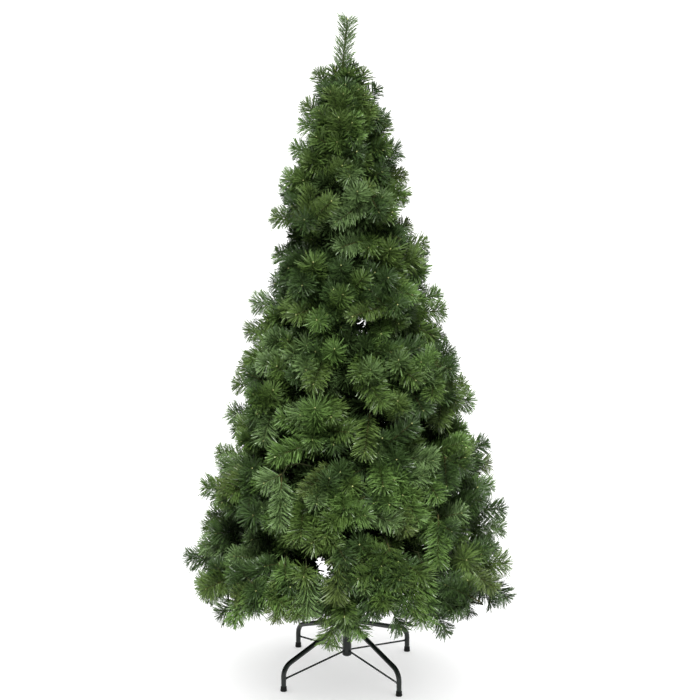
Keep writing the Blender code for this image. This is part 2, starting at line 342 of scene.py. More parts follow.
@dataclass
class NeedleSheaf:
    """Many needles of one tone, gathered into one mesh. Each is a narrow strip of two faces.

    Args:
        name: The mesh's name.
        parts: The needles' corners, spray by spray.
        count: How many needles there are so far.
    """

    name: str
    parts: list[np.ndarray] = field(default_factory=list)
    count: int = 0

    # Most triangles that one piece may have
    LIMIT = 195000

    def add(self, needles: np.ndarray) -> None:
        """Adds a spray's needles, as four corners for each."""
        self.parts.append(needles)
        self.count += len(needles)

    @property
    def triangles(self) -> int:
        """How many triangles the needles have."""
        return 2 * self.count

    def build(self, finish: Finish, masses: list[str]) -> None:
        """Makes the mesh object, which replaces the frame's masses.

        Args:
            finish: What it is finished in.
            masses: The names of the masses.
        """
        points = np.concatenate(self.parts).reshape(-1, 3)
        faces = 4 * np.arange(self.count)[:, None] + np.array([0, 1, 2, 2, 1, 3])
        piece = mesh_piece(self.name, points, faces.reshape(-1, 3), finish, True)
        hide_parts(*masses)
        LOG.info("%s: %d triangles", self.name, self.triangles)


def tube(path: np.ndarray, radii: np.ndarray, sides: int) -> tuple[np.ndarray, np.ndarray]:
    """A closed round bar of quads along a path.

    Args:
        path: The points of its centreline.
        radii: Its radius at each of them.
        sides: An even number of sides.

    Returns:
        Its corners and its faces.
    """
    tangents = unit(np.gradient(path, axis=0))
    side = across(tangents[0])
    rings = []
    angles = 2.0 * math.pi * np.arange(sides) / sides
    for point, tangent, radius in zip(path, tangents, radii):
        side = unit(side - tangent * np.dot(side, tangent))
        up = np.cross(tangent, side)
        rings.append(point + radius * (np.outer(np.cos(angles), side) + np.outer(np.sin(angles), up)))
    points = np.concatenate(rings)
    faces = []
    for ring in range(len(path) - 1):
        for i in range(sides):
            j = (i + 1) % sides
            low = ring * sides
            faces.append((low + i, low + j, low + sides + j, low + sides + i))
    last = (len(path) - 1) * sides
    for i in range(0, sides - 2, 2):
        faces.append((0, sides - 1 - i, sides - 2 - i, sides - 3 - i))
        faces.append((last, last + i + 1, last + i + 2, last + i + 3))
    return points, np.array(faces)


# The crown's space, read from the frame


class Crown:
    """The space that the foliage fills: the outer face of the frame's masses, in any direction."""

    # Spacing of the measured heights, number of measured turns, and where each ray starts
    HEIGHT_STEP = 0.02
    TURNS = 72
    START = 1.0

    def __init__(self) -> None:
        """Reads the masses and measures how far out they reach."""
        names = [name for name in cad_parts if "mass" in name]
        self.masses: list[str] = sorted(names)
        corners: list[Vector] = []
        faces: list[tuple[int, ...]] = []
        self.owner: list[str] = []
        for name in self.masses:
            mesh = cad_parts[name].data
            offset = len(corners)
            corners += [vertex.co.copy() for vertex in mesh.vertices]
            for polygon in mesh.polygons:
                faces.append(tuple(offset + i for i in polygon.vertices))
                self.owner.append(name)
        self.tree = BVHTree.FromPolygons(corners, faces)
        top = max(corner.z for corner in corners)
        rows = int(top / self.HEIGHT_STEP) + 1
        reach = np.zeros((rows, self.TURNS))
        for row in range(rows):
            for column in range(self.TURNS):
                turn = 2.0 * math.pi * column / self.TURNS
                reach[row, column] = self.hit(turn, row * self.HEIGHT_STEP)
        closed = reach.copy()
        for shift in (-1, 1):
            closed = np.maximum(closed, np.roll(reach, shift, axis=1))
        for _ in range(2):
            closed = (np.roll(closed, 1, axis=1) + 2.0 * closed + np.roll(closed, -1, axis=1)) / 4.0
        self.reach = closed

    def hit(self, turn: float, height: float) -> float:
        """How far out the masses reach on one level ray from the axis.

        Args:
            turn: The ray's turn round the axis, in radians.
            height: Its height.

        Returns:
            The distance from the axis, or 0 where the ray meets no mass.
        """
        outward = Vector((math.cos(turn), math.sin(turn), 0.0))
        start = outward * self.START + Vector((0.0, 0.0, height))
        point, _, _, _ = self.tree.ray_cast(start, -outward, self.START)
        if point is None:
            return 0.0
        return math.hypot(point.x, point.y)

    def radius(self, turn: float, height: float) -> float:
        """How far out the foliage reaches, with its gaps closed over.

        Args:
            turn: The direction's turn round the axis, in radians.
            height: The height.

        Returns:
            The distance from the axis.
        """
        row = min(max(height / self.HEIGHT_STEP, 0.0), len(self.reach) - 1.001)
        column = (turn % (2.0 * math.pi)) / (2.0 * math.pi) * self.TURNS
        low = int(row)
        left = int(column) % self.TURNS
        right = (left + 1) % self.TURNS
        rise = row - low
        share = column - int(column)
        lower = self.reach[low, left] * (1.0 - share) + self.reach[low, right] * share
        upper = self.reach[low + 1, left] * (1.0 - share) + self.reach[low + 1, right] * share
        return lower * (1.0 - rise) + upper * rise

    def nearest_mass(self, point: np.ndarray) -> str:
        """The mass whose surface is nearest a point."""
        _, _, face, _ = self.tree.find_nearest(Vector(point))
        return self.owner[face]


@dataclass(frozen=True)
class Limb:
    """A bough of the frame.

    Args:
        name: Its name in the frame.
        root: Where it leaves the pole.
        end: Where it ends.
    """

    name: str
    root: np.ndarray
    end: np.ndarray

    @property
    def axis(self) -> np.ndarray:
        """The limb's direction."""
        return unit(self.end - self.root)


def read_limb(name: str) -> Limb:
    """Measures a bough of the frame from its mesh.

    Args:
        name: The bough's name in the frame.

    Returns:
        The bough's ends, as the middles of its mesh's inner and outer corners.
    """
    corners = np.array([vertex.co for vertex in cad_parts[name].data.vertices])
    distance = np.hypot(corners[:, 0], corners[:, 1])
    middle = (distance.min() + distance.max()) / 2.0
    inner = corners[distance < middle]
    outer = corners[distance >= middle]
    root = (inner.min(axis=0) + inner.max(axis=0)) / 2.0
    end = (outer.min(axis=0) + outer.max(axis=0)) / 2.0
    return Limb(name, root, end)


# The steel pieces, modelled with operators


@dataclass(frozen=True)
class Step:
    """One step of a turned outline.

    Args:
        radius: The radius that the edge is raised to.
        height: The height that it is raised to.
    """

    radius: float
    height: float


class Bench:
    """The modelling steps that the steel and wire pieces share."""

    SMOOTH_ANGLE = math.radians(35.0)

    @staticmethod
    def start_disc(
        name: str,
        radius: float,
        centre: tuple[float, float, float],
        sides: int,
    ) -> bpy.types.Object:
        """Adds a round face at its place and opens it in edit mode.

        Args:
            name: The piece's name.
            radius: The face's radius.
            centre: The face's middle.
            sides: Its number of sides.

        Returns:
            The new object, in edit mode, with its face selected.
        """
        bpy.ops.object.select_all(action="DESELECT")
        bpy.ops.mesh.primitive_circle_add(vertices=sides, radius=radius, fill_type="NGON", location=centre)
        piece = bpy.context.object
        piece.name = name
        bpy.ops.object.transform_apply(location=True, rotation=True, scale=True)
        bpy.ops.object.mode_set(mode="EDIT")
        bpy.ops.mesh.select_all(action="SELECT")
        return piece

    @staticmethod
    def extrude(move: tuple[float, float, float]) -> None:
        """Extrudes the selected face by a move."""
        bpy.ops.mesh.extrude_region_move(TRANSFORM_OT_translate={"value": move})

    @classmethod
    def turn_outline(cls, name: str, outline: list[Step], sides: int) -> bpy.types.Object:
        """Raises a round face through an outline, step by step.

        Args:
            name: The piece's name.
            outline: The steps from the lowest face to the last one.
            sides: The number of sides round the axis.

        Returns:
            The new object, in edit mode.
        """
        piece = cls.start_disc(name, outline[0].radius, (0.0, 0.0, outline[0].height), sides)
        for last, step in zip(outline, outline[1:]):
            cls.extrude((0.0, 0.0, step.height - last.height))
            ratio = step.radius / last.radius
            if ratio != 1.0:
                centre = (0.0, 0.0, step.height)
                bpy.ops.transform.resize(value=(ratio, ratio, 1.0), center_override=centre)
        return piece

    @classmethod
    def complete(cls, piece: bpy.types.Object, bevel: float = 0.0, merge: bool = False) -> None:
        """Leaves edit mode, rounds the sharp edges and smooths the rest.

        Args:
            piece: The object in edit mode.
            bevel: Width of the rounding in metres.
            merge: Whether corners that coincide are merged first.
        """
        bpy.ops.mesh.select_all(action="SELECT")
        if merge:
            bpy.ops.mesh.remove_doubles(threshold=0.00001)
        bpy.ops.mesh.normals_make_consistent(inside=False)
        bpy.ops.object.mode_set(mode="OBJECT")
        if bevel:
            rounding = piece.modifiers.new("rounded edges", "BEVEL")
            rounding.width = bevel
            rounding.segments = 2
            rounding.limit_method = "ANGLE"
            rounding.angle_limit = math.radians(28.0)
            bpy.ops.object.modifier_apply(modifier=rounding.name)
        bpy.ops.object.shade_smooth_by_angle(angle=cls.SMOOTH_ANGLE)

    @staticmethod
    def copied(piece: bpy.types.Object, name: str, move: Matrix) -> bpy.types.Object:
        """Copies a piece with its own mesh.

        Args:
            piece: The piece.
            name: The copy's name.
            move: Where the copy's mesh goes.

        Returns:
            The copy.
        """
        twin = bpy.data.objects.new(name, piece.data.copy())
        twin.data.transform(move)
        bpy.context.scene.collection.objects.link(twin)
        return twin

    @staticmethod
    def joined(pieces: list[bpy.types.Object], name: str) -> bpy.types.Object:
        """Joins pieces into the first of them.

        Args:
            pieces: The pieces, at least one.
            name: The joined piece's name.

        Returns:
            The joined piece.
        """
        bpy.ops.object.select_all(action="DESELECT")
        for piece in pieces:
            piece.select_set(True)
        bpy.context.view_layer.objects.active = pieces[0]
        if len(pieces) > 1:
            bpy.ops.object.join()
        pieces[0].name = name
        return pieces[0]

    @staticmethod
    def dress(piece: bpy.types.Object, finish: Finish, slot: str, *nodes: str) -> None:
        """Finishes a piece, lets it ride on the tree and stand for nodes of the frame.

        Args:
            piece: The piece.
            finish: What it is finished in.
            slot: The record's material slot; not used.
            nodes: The nodes, if there are any.
        """
        piece.data.materials.clear()
        piece.data.materials.append(finish.material())
        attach(piece, "root")
        if nodes:
            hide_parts(*nodes)
        LOG.info("%s: %d faces", piece.name, len(piece.data.polygons))


@dataclass(frozen=True)
class Pole:
    """The two-piece pole with its bracket rings, and the wrapped wire of the leading shoot.

    Args:
        foot: Height of the pole's lower end, inside the socket.
        lower_radius: Radius of the lower tube.
        upper_radius: Radius of the upper tube.
        joint: Height where the upper tube enters the lower one.
        top: Height of the upper tube's end.
        rings: Heights of the bracket rings' middles.
        ring_radius: Outer radius of a bracket ring.
        ring_height: Height of a bracket ring.
        groove: Depth of the groove round a ring, where the boughs hook in.
        wire_radius: Radius of the leading shoot's wire.
        wire_path: Points of that wire, as offset to the right and height.
        sides: Number of sides of the tubes.
    """

    foot: float = 0.0483
    lower_radius: float = 0.0103
    upper_radius: float = 0.0088
    joint: float = 0.98
    top: float = 1.56
    rings: tuple[float, ...] = (0.3765, 0.5864, 0.8262, 1.0583, 1.2827)
    ring_radius: float = 0.0160
    ring_height: float = 0.022
    groove: float = 0.0016
    wire_radius: float = 0.0026
    wire_path: tuple[tuple[float, float], ...] = (
        (0.0, 1.550),
        (-0.0075, 1.605),
        (-0.014, 1.645),
        (-0.0085, 1.700),
        (-0.003, 1.750),
        (0.001, 1.788),
    )
    sides: int = 24

    def ring_steps(self, height: float, tube: float) -> list[Step]:
        """The outline of one bracket ring, with a lip above and below its groove.

        Args:
            height: Height of the ring's middle.
            tube: Radius of the tube that it sits on.

        Returns:
            The outline's steps, upward.
        """
        foot = height - self.ring_height / 2.0
        lip = self.ring_height * 0.22
        inner = self.ring_radius - self.groove
        return [
            Step(tube, foot),
            Step(self.ring_radius, foot),
            Step(self.ring_radius, foot + lip),
            Step(inner, foot + lip + 0.0012),
            Step(inner, foot + self.ring_height - lip - 0.0012),
            Step(self.ring_radius, foot + self.ring_height - lip),
            Step(self.ring_radius, foot + self.ring_height),
            Step(tube, foot + self.ring_height),
        ]

    def outline(self) -> list[Step]:
        """The pole's outline.

        Returns:
            The steps from the pole's foot to the upper tube's end.
        """
        steps = [Step(self.lower_radius, self.foot)]
        for height in self.rings:
            if height < self.joint:
                steps += self.ring_steps(height, self.lower_radius)
        steps += [
            Step(self.lower_radius, self.joint - 0.0015),
            Step(self.lower_radius - 0.0008, self.joint),
            Step(self.upper_radius, self.joint),
        ]
        for height in self.rings:
            if height > self.joint:
                steps += self.ring_steps(height, self.upper_radius)
        steps += [Step(self.upper_radius, self.top - 0.002), Step(self.upper_radius * 0.7, self.top)]
        return steps

    def build_wire(self) -> bpy.types.Object:
        """Builds the leading shoot's wire, extruded from point to point.

        Returns:
            The wire.
        """
        offset, height = self.wire_path[0]
        wire = Bench.start_disc("leader_wire", self.wire_radius, (offset, 0.0, height), 10)
        for last, point in zip(self.wire_path, self.wire_path[1:]):
            Bench.extrude((point[0] - last[0], 0.0, point[1] - last[1]))
            centre = (point[0], 0.0, point[1])
            bpy.ops.transform.resize(value=(0.93, 0.93, 1.0), center_override=centre)
        Bench.complete(wire)
        return wire

    def build(self) -> None:
        """Builds the pole and its wire."""
        pole = Bench.turn_outline("pole_tube", self.outline(), self.sides)
        Bench.complete(pole, bevel=0.0004)
        Bench.dress(pole, STEEL, "steel", "pole")
        Bench.dress(self.build_wire(), WRAP, "wire")


@dataclass(frozen=True)
class Socket:
    """The stand's socket: a tube round the pole's foot, a collar for the legs and a rolled lower lip.

    Args:
        radius: Radius of the tube.
        inner: Radius of its bore.
        bottom: Height of its lower end.
        top: Height of its upper end.
        collar_radius: Radius of the collar.
        collar_bottom: Height of the collar's lower edge.
        collar_top: Height of the collar's upper edge.
        lip: How far the lower lip stands proud.
        depth: How deep the bore is, from the top.
        sides: Number of sides.
    """

    radius: float = 0.0125
    inner: float = 0.0106
    bottom: float = 0.045
    top: float = 0.205
    collar_radius: float = 0.0165
    collar_bottom: float = 0.128
    collar_top: float = 0.160
    lip: float = 0.0007
    depth: float = 0.157
    sides: int = 32

    def outline(self) -> list[Step]:
        """The socket's outline.

        Returns:
            The steps from the closed lower end, up the outside and down into the bore.
        """
        return [
            Step(self.radius * 0.75, self.bottom),
            Step(self.radius, self.bottom + 0.0025),
            Step(self.radius + self.lip, self.bottom + 0.0035),
            Step(self.radius + self.lip, self.bottom + 0.0085),
            Step(self.radius, self.bottom + 0.0095),
            Step(self.radius, self.collar_bottom),
            Step(self.collar_radius, self.collar_bottom),
            Step(self.collar_radius, self.collar_top),
            Step(self.radius, self.collar_top),
            Step(self.radius, self.top),
            Step(self.inner, self.top),
            Step(self.inner, self.top - self.depth),
        ]

    def build(self) -> None:
        """Builds the socket."""
        socket = Bench.turn_outline("socket_tube", self.outline(), self.sides)
        Bench.complete(socket, bevel=0.0006)
        Bench.dress(socket, STEEL, "steel", "stand_socket")


@dataclass(frozen=True)
class Leg:
    """One leg of bent tube with its hinge cheeks at the collar, its brace rod and its rubber cap.

    Args:
        turn: Turn of the first leg round the axis, in degrees.
        count: How many legs there are.
        radius: Radius of the tube.
        reach: Distance from the axis to the leg's upright end.
        foot: Height of the tube's lower end, inside its cap.
        bend_start: Height where the upright end begins to bend.
        bend_radius: Radius of the bend.
        slope: Angle of the sloping run above level, in degrees.
        inner: Distance from the axis to the sloping run's end.
        rod: Radius of the brace.
        rod_flare: Radius of its flattened ends, as a share of the rod's.
        rod_outer: Height of the brace at the leg.
        rod_inner: Height of the brace at the socket.
        cap_radius: Radius of the cap's flared foot.
        cap_neck: Radius of the cap above it.
        cap_height: Height of the cap.
        cheek: Length, thickness and height of a hinge cheek.
        bolt: Radius of the hinge's bolt.
        bolt_head: Radius of the bolt's head.
        bolt_nut: Radius of its nut.
    """

    turn: float = 39.2
    count: int = 4
    radius: float = 0.0070
    reach: float = 0.222
    foot: float = 0.0033
    bend_start: float = 0.0407
    bend_radius: float = 0.038
    slope: float = 20.5
    inner: float = 0.0193
    rod: float = 0.0027
    rod_flare: float = 1.4
    rod_outer: float = 0.034
    rod_inner: float = 0.060
    cap_radius: float = 0.0090
    cap_neck: float = 0.0083
    cap_height: float = 0.013
    cheek: tuple[float, float, float] = (0.020, 0.0018, 0.018)
    bolt: float = 0.0022
    bolt_head: float = 0.0042
    bolt_nut: float = 0.0040

    def build_tube(self) -> bpy.types.Object:
        """Builds the bent tube of a leg that stands along +X.

        Returns:
            The tube.
        """
        slope = math.radians(self.slope)
        turning = math.pi / 2.0 - slope
        tube = Bench.start_disc("leg_tube", self.radius, (self.reach, 0.0, self.foot), 24)
        Bench.extrude((0.0, 0.0, self.bend_start - self.foot))
        centre = (self.reach - self.bend_radius, 0.0, self.bend_start)
        bpy.ops.mesh.spin(steps=14, angle=turning, center=centre, axis=(0.0, 1.0, 0.0))
        bend_end = centre[0] + self.bend_radius * math.cos(turning)
        run = (bend_end - self.inner) / math.cos(slope)
        Bench.extrude((-run * math.cos(slope), 0.0, run * math.sin(slope)))
        Bench.complete(tube, bevel=0.0006, merge=True)
        return tube

    def build_rod(self) -> bpy.types.Object:
        """Builds the brace, a rod with a flattened end at the leg and at the socket.

        Returns:
            The rod.
        """
        outer = self.reach - self.radius
        inner = Socket.radius
        drop = self.rod_inner - self.rod_outer
        rise = math.atan2(drop, outer - inner)
        span = math.hypot(outer - inner, drop) - 0.0010
        end = self.rod * self.rod_flare
        rod = Bench.turn_outline(
            "brace_rod",
            [
                Step(end, 0.0),
                Step(end, 0.0016),
                Step(self.rod, 0.0024),
                Step(self.rod, span - 0.0024),
                Step(end, span - 0.0016),
                Step(end, span),
            ],
            14,
        )
        Bench.complete(rod, bevel=0.0003)
        place = Matrix.Translation((outer - 0.0005, 0.0, self.rod_outer))
        rod.data.transform(place @ Matrix.Rotation(-(math.pi / 2.0 - rise), 4, "Y"))
        return rod

    def build_cap(self) -> bpy.types.Object:
        """Builds the rubber cap, flared at its foot and hollow above.

        Returns:
            The cap.
        """
        bore = self.radius + 0.0003
        cap = Bench.turn_outline(
            "foot_cap",
            [
                Step(self.cap_radius, 0.0),
                Step(self.cap_radius, 0.0036),
                Step(self.cap_neck, 0.0062),
                Step(self.cap_neck, self.cap_height - 0.0014),
                Step(self.cap_neck - 0.0004, self.cap_height),
                Step(bore, self.cap_height),
                Step(bore, self.foot - 0.0003),
            ],
            24,
        )
        Bench.complete(cap, bevel=0.0005)
        cap.data.transform(Matrix.Translation((self.reach, 0.0, 0.0)))
        return cap

    def build_hinge(self) -> bpy.types.Object:
        """Builds the two cheeks that hold the leg at the collar, with the bolt through them.

        Returns:
            The cheeks and the bolt as one piece.
        """
        slope = math.radians(self.slope)
        height = self.bend_start + self.bend_radius * math.cos(slope)
        bend_end = self.reach - self.bend_radius + self.bend_radius * math.sin(slope)
        middle = self.inner + 0.010
        height += (bend_end - middle) * math.tan(slope)
        pieces = []
        for side in (-1.0, 1.0):
            centre = (middle - 0.004, side * (self.radius + 0.0012), height + 0.001)
            bpy.ops.object.select_all(action="DESELECT")
            bpy.ops.mesh.primitive_cube_add(size=1.0, location=centre)
            cheek = bpy.context.object
            cheek.scale = self.cheek
            bpy.ops.object.transform_apply(location=True, rotation=True, scale=True)
            bpy.ops.object.mode_set(mode="EDIT")
            Bench.complete(cheek, bevel=0.0007)
            pieces.append(cheek)
        half = self.radius + 0.0048
        bolt = Bench.turn_outline(
            "bolt",
            [
                Step(self.bolt_head, -half),
                Step(self.bolt_head, -half + 0.0022),
                Step(self.bolt, -half + 0.0022),
                Step(self.bolt, half - 0.0026),
                Step(self.bolt_nut, half - 0.0026),
                Step(self.bolt_nut, half),
            ],
            6,
        )
        Bench.complete(bolt, bevel=0.0003)
        level = Matrix.Rotation(math.pi / 2.0, 4, "X")
        bolt.data.transform(Matrix.Translation((middle, 0.0, height)) @ level)
        pieces.append(bolt)
        return Bench.joined(pieces, "hinge")

    def build(self) -> None:
        """Builds each piece once and sets its copies round the socket."""
        patterns = (
            (self.build_tube(), STEEL, "steel", "stand_leg"),
            (self.build_rod(), STEEL, "steel", "stand_brace"),
            (self.build_cap(), RUBBER, "rubber", "stand_foot"),
            (self.build_hinge(), STEEL, "steel", ""),
        )
        for pattern, finish, slot, node in patterns:
            for number in range(self.count):
                turn = math.radians(self.turn) + 2.0 * math.pi * number / self.count
                name = f"{pattern.name}_{number + 1}"
                twin = Bench.copied(pattern, name, Matrix.Rotation(turn, 4, "Z"))
                Bench.dress(twin, finish, slot, *([f"{node}_{number + 1}"] if node else []))
            bpy.data.objects.remove(pattern, do_unlink=True)


@dataclass(frozen=True)
class Limbs:
    """The boughs of the frame as twisted wires wound with film.

    Args:
        limbs: The frame's boughs by name.
        radius: Radius of the pattern's root.
        taper: Radius of its end as a share of the root's.
        oval: Depth of the twist, as a share of the radius.
        twist: Turn of each step of the twist, in degrees.
        steps: Number of steps along a limb.
        sides: Number of sides.
    """

    limbs: dict[str, Limb]
    radius: float = 0.0048
    taper: float = 0.76
    oval: float = 0.80
    twist: float = 33.0
    steps: int = 26
    sides: int = 14

    def build_pattern(self) -> bpy.types.Object:
        """Builds one limb of length one up the axis: an oval face raised and turned step by step.

        Returns:
            The limb that the others are copied from.
        """
        pattern = Bench.start_disc("limb", self.radius, (0.0, 0.0, 0.0), self.sides)
        bpy.ops.transform.resize(value=(1.0, self.oval, 1.0), center_override=(0.0, 0.0, 0.0))
        shrink = self.taper ** (1.0 / self.steps)
        twist = math.radians(self.twist)
        for number in range(self.steps):
            centre = (0.0, 0.0, (number + 1) / self.steps)
            Bench.extrude((0.0, 0.0, 1.0 / self.steps))
            bpy.ops.transform.resize(value=(shrink, shrink, 1.0), center_override=centre)
            bpy.ops.transform.rotate(value=twist, orient_axis="Z", center_override=centre)
        Bench.complete(pattern)
        return pattern

    def build(self) -> None:
        """Copies the pattern to every limb of the frame and joins the copies."""
        pattern = self.build_pattern()
        copies = []
        for limb in self.limbs.values():
            length = float(np.linalg.norm(limb.end - limb.root))
            turn = Vector(limb.axis).to_track_quat("Z", "Y").to_matrix().to_4x4()
            stretch = Matrix.Diagonal((1.0, 1.0, length, 1.0))
            move = Matrix.Translation(Vector(limb.root)) @ turn @ stretch
            copies.append(Bench.copied(pattern, limb.name.replace("bough", "limb"), move))
        bpy.data.objects.remove(pattern, do_unlink=True)
        Bench.dress(Bench.joined(copies, "limbs"), WRAP, "wire", *self.limbs)


# Sprays of needles


@dataclass(frozen=True)
class NeedleCut:
    """How a spray's film is cut and wound. Two strands of it run round the stem.

    Args:
        length: Length of a needle.
        width: Width of a needle.
        pitch: Stem length in which a strand turns once.
        slots: Bundles of needles in a strand's turn.
        bundle: Needles in a bundle.
        lean: Angle from the stem at which the needles stand, in radians.
        tip_lean: The same at the stem's tip.
        tip_length: Share of the length that needles have at the stem's tip.
        start: Share of the stem that is bare at its foot.
    """

    length: float = 0.041
    width: float = 0.0018
    pitch: float = 0.014
    slots: float = 14.2
    bundle: int = 2
    lean: float = math.radians(54.0)
    tip_lean: float = math.radians(36.0)
    tip_length: float = 0.52
    start: float = 0.06

    @property
    def step(self) -> float:
        """Stem length between one pair of bundles and the next."""
        return self.pitch / self.slots


TIP_CUT = NeedleCut()
OUTLINE_CUT = NeedleCut(width=0.0015, slots=18.4)
LEADER_CUT = NeedleCut(
    length=0.037,
    width=0.0014,
    pitch=0.010,
    slots=10.4,
    lean=math.radians(46.0),
    tip_lean=math.radians(74.0),
    tip_length=0.85,
)
HOLLOW_CUT = NeedleCut(width=0.0026, pitch=0.018, slots=10)
INNER_CUT = NeedleCut(length=0.048, width=0.0050, pitch=0.036, slots=6, start=0.0)


@dataclass(frozen=True)
class Scatter:
    """How far needles stray from an even winding.

    What is named shared changes slowly from bundle to bundle. What is named spread sets a bundle's
    needles apart. Of the rest each needle has its own. Angles are in radians.

    Args:
        shared_place: Shift along the stem, in metres.
        own_place: The same.
        shared_turn: Turn round the stem.
        own_turn: The same.
        spread_turn: The same.
        shared_lean: Change of the angle from the stem.
        own_lean: The same.
        tip_lean: What is added to the needle's own at the stem's tip.
        spread_lean: The same.
        length: Change of the length, as a share.
        twist: Turn of a needle's foot about its own length.
        curl: Further turn of its end.
    """

    shared_place: float = 0.0007
    own_place: float = 0.0002
    shared_turn: float = 0.16
    own_turn: float = 0.04
    spread_turn: float = 0.05
    shared_lean: float = 0.12
    own_lean: float = 0.040
    tip_lean: float = 0.24
    spread_lean: float = 0.02
    length: float = 0.11
    twist: float = 0.8
    curl: float = 0.5


SCATTER = Scatter()


@dataclass(frozen=True)
class Spray:
    """One wrapped stem with its needles.

    Args:
        base: Where the stem starts.
        heading: Its direction there.
        bend: How far its end swings aside, as a vector in metres.
        length: Its length.
        cut: How its needles are cut.
        tone: Their colour.
        has_tip: Whether the stem's end is bare, with its cut wire in view.
        seed: Where the scatter of its needles starts.
    """

    base: np.ndarray
    heading: np.ndarray
    bend: np.ndarray
    length: float
    cut: NeedleCut
    tone: Tone
    has_tip: bool = True
    seed: int = 0

    STEM_RADIUS = 0.0016
    # Length at the stem's tip over which the needles' lean and length change
    TIP_ZONE = 0.013
    # Number of bundles over which neighbours' shared scatter changes
    DRIFT_RUN = 3
    # Bundles at the tip that stand closer than the others, and where the first stands, in steps
    CLOSE_BUNDLES = 3.0
    FIRST_BUNDLE = 0.3
    # Half widths of a needle's foot and end, as shares of the film's width
    FOOT_WIDTH = 0.30
    END_WIDTH = 0.50
    # How far back the cut at a needle's end slants, as a share of its length
    SLANT = 0.08

    def at(self, distance: np.ndarray) -> np.ndarray:
        """Points of the stem at distances from its base."""
        share = distance[:, None] / self.length
        return self.base + distance[:, None] * self.heading + self.bend * share**2

    def tangent(self, distance: np.ndarray) -> np.ndarray:
        """Directions of the stem at distances from its base."""
        share = distance[:, None] / self.length
        return unit(self.heading + 2.0 * self.bend * share / self.length)

    def stem(self) -> tuple[np.ndarray, np.ndarray]:
        """The wrapped stem, which tapers.

        Returns:
            Its corners and faces.
        """
        distance = np.linspace(0.0, self.length, 4)
        radii = self.STEM_RADIUS * np.array([1.15, 1.0, 0.85, 0.6])
        return tube(self.at(distance), radii, 4)

    def tip(self) -> tuple[np.ndarray, np.ndarray]:
        """Corners and faces of the bead at the stem's end."""
        distance = self.length + np.array([-0.0010, 0.0018, 0.0040])
        return tube(self.at(distance), self.STEM_RADIUS * np.array([0.7, 1.3, 0.5]), 4)

    @classmethod
    def drift(cls, rng: np.random.Generator, count: int) -> np.ndarray:
        """Noise for neighbouring bundles, which changes over a run of them."""
        knots = rng.normal(0.0, 1.0, count // cls.DRIFT_RUN + 2)
        return np.interp(np.arange(count) / cls.DRIFT_RUN, np.arange(len(knots)), knots)

    def needles(self) -> np.ndarray:
        """Corners of the needles, each a narrow strip with a slanting end.

        Returns:
            Four corners for each needle: two at its foot and two at its end.
        """
        cut = self.cut
        rng = np.random.default_rng(self.seed)
        steps = int(self.length * (1.0 - cut.start) / cut.step)
        bundle = np.repeat(np.arange(2 * steps), cut.bundle)
        count = len(bundle)
        strand = bundle % 2
        order = bundle // 2
        shared = []
        for _ in range(3):
            second = self.drift(rng, steps)[order]
            first = self.drift(rng, steps)[order]
            shared.append(np.where(strand, second, first))
        own = rng.normal(0.0, 1.0, (6, count))
        apart = np.tile(np.linspace(-1.0, 1.0, cut.bundle), 2 * steps)
        packed = order * order / (order + self.CLOSE_BUNDLES) + self.FIRST_BUNDLE
        distance = self.length - packed * cut.step
        distance = distance + SCATTER.shared_place * shared[0] + SCATTER.own_place * own[0]
        distance = np.clip(distance, 0.001, self.length - 0.0006)
        tangent = self.tangent(distance)
        side = across(self.heading)
        side = unit(side - tangent * (tangent @ side)[:, None])
        up = np.cross(tangent, side)
        wound = 2.0 * math.pi * order / cut.slots + math.pi * strand
        wound = wound + rng.uniform(0.0, 2.0 * math.pi) + SCATTER.shared_turn * shared[1]
        wound = wound + SCATTER.own_turn * own[1] + SCATTER.spread_turn * apart
        cosine = np.cos(wound)[:, None]
        sine = np.sin(wound)[:, None]
        outward = cosine * side + sine * up
        sideways = cosine * up - sine * side
        near_tip = np.clip(1.0 - (self.length - distance) / self.TIP_ZONE, 0.0, 1.0)
        lean = cut.lean + (cut.tip_lean - cut.lean) * near_tip
        lean = lean + SCATTER.shared_lean * shared[2]
        lean = lean + (SCATTER.own_lean + SCATTER.tip_lean * near_tip) * own[2] + SCATTER.spread_lean * apart
        cosine = np.cos(lean)[:, None]
        sine = np.sin(lean)[:, None]
        along = cosine * tangent + sine * outward
        rise = cosine * outward - sine * tangent
        length = cut.length * (1.0 + SCATTER.length * own[3]) * (1.0 - (1.0 - cut.tip_length) * near_tip)
        length = length[:, None]
        start = self.at(distance) + outward * self.STEM_RADIUS * 0.5
        twist = SCATTER.twist * own[4][:, None]
        turn = twist + SCATTER.curl * own[5][:, None]
        foot = self.FOOT_WIDTH * cut.width * (np.cos(twist) * rise + np.sin(twist) * sideways)
        end = self.END_WIDTH * cut.width * (np.cos(turn) * rise + np.sin(turn) * sideways)
        point = start + length * along
        corners = [start - foot, start + foot, point - end - self.SLANT * length * along, point + end]
        return np.stack(corners, axis=1)


class Heading:
    """How the boughs' tips rise with height."""

    # Height, and angle above level in degrees
    RISES = (
        (0.24, -8.0),
        (0.32, -4.0),
        (0.50, -5.0),
        (0.90, -3.0),
        (1.20, 8.0),
        (1.42, 26.0),
        (1.56, 48.0),
        (1.66, 64.0),
    )

    @classmethod
    def rise(cls, height: float) -> float:
        """The angle above level of tips at a height.

        Args:
            height: The height.

        Returns:
            The angle in radians.
        """
        heights = [row[0] for row in cls.RISES]
        angles = [row[1] for row in cls.RISES]
        return math.radians(float(np.interp(height, heights, angles)))


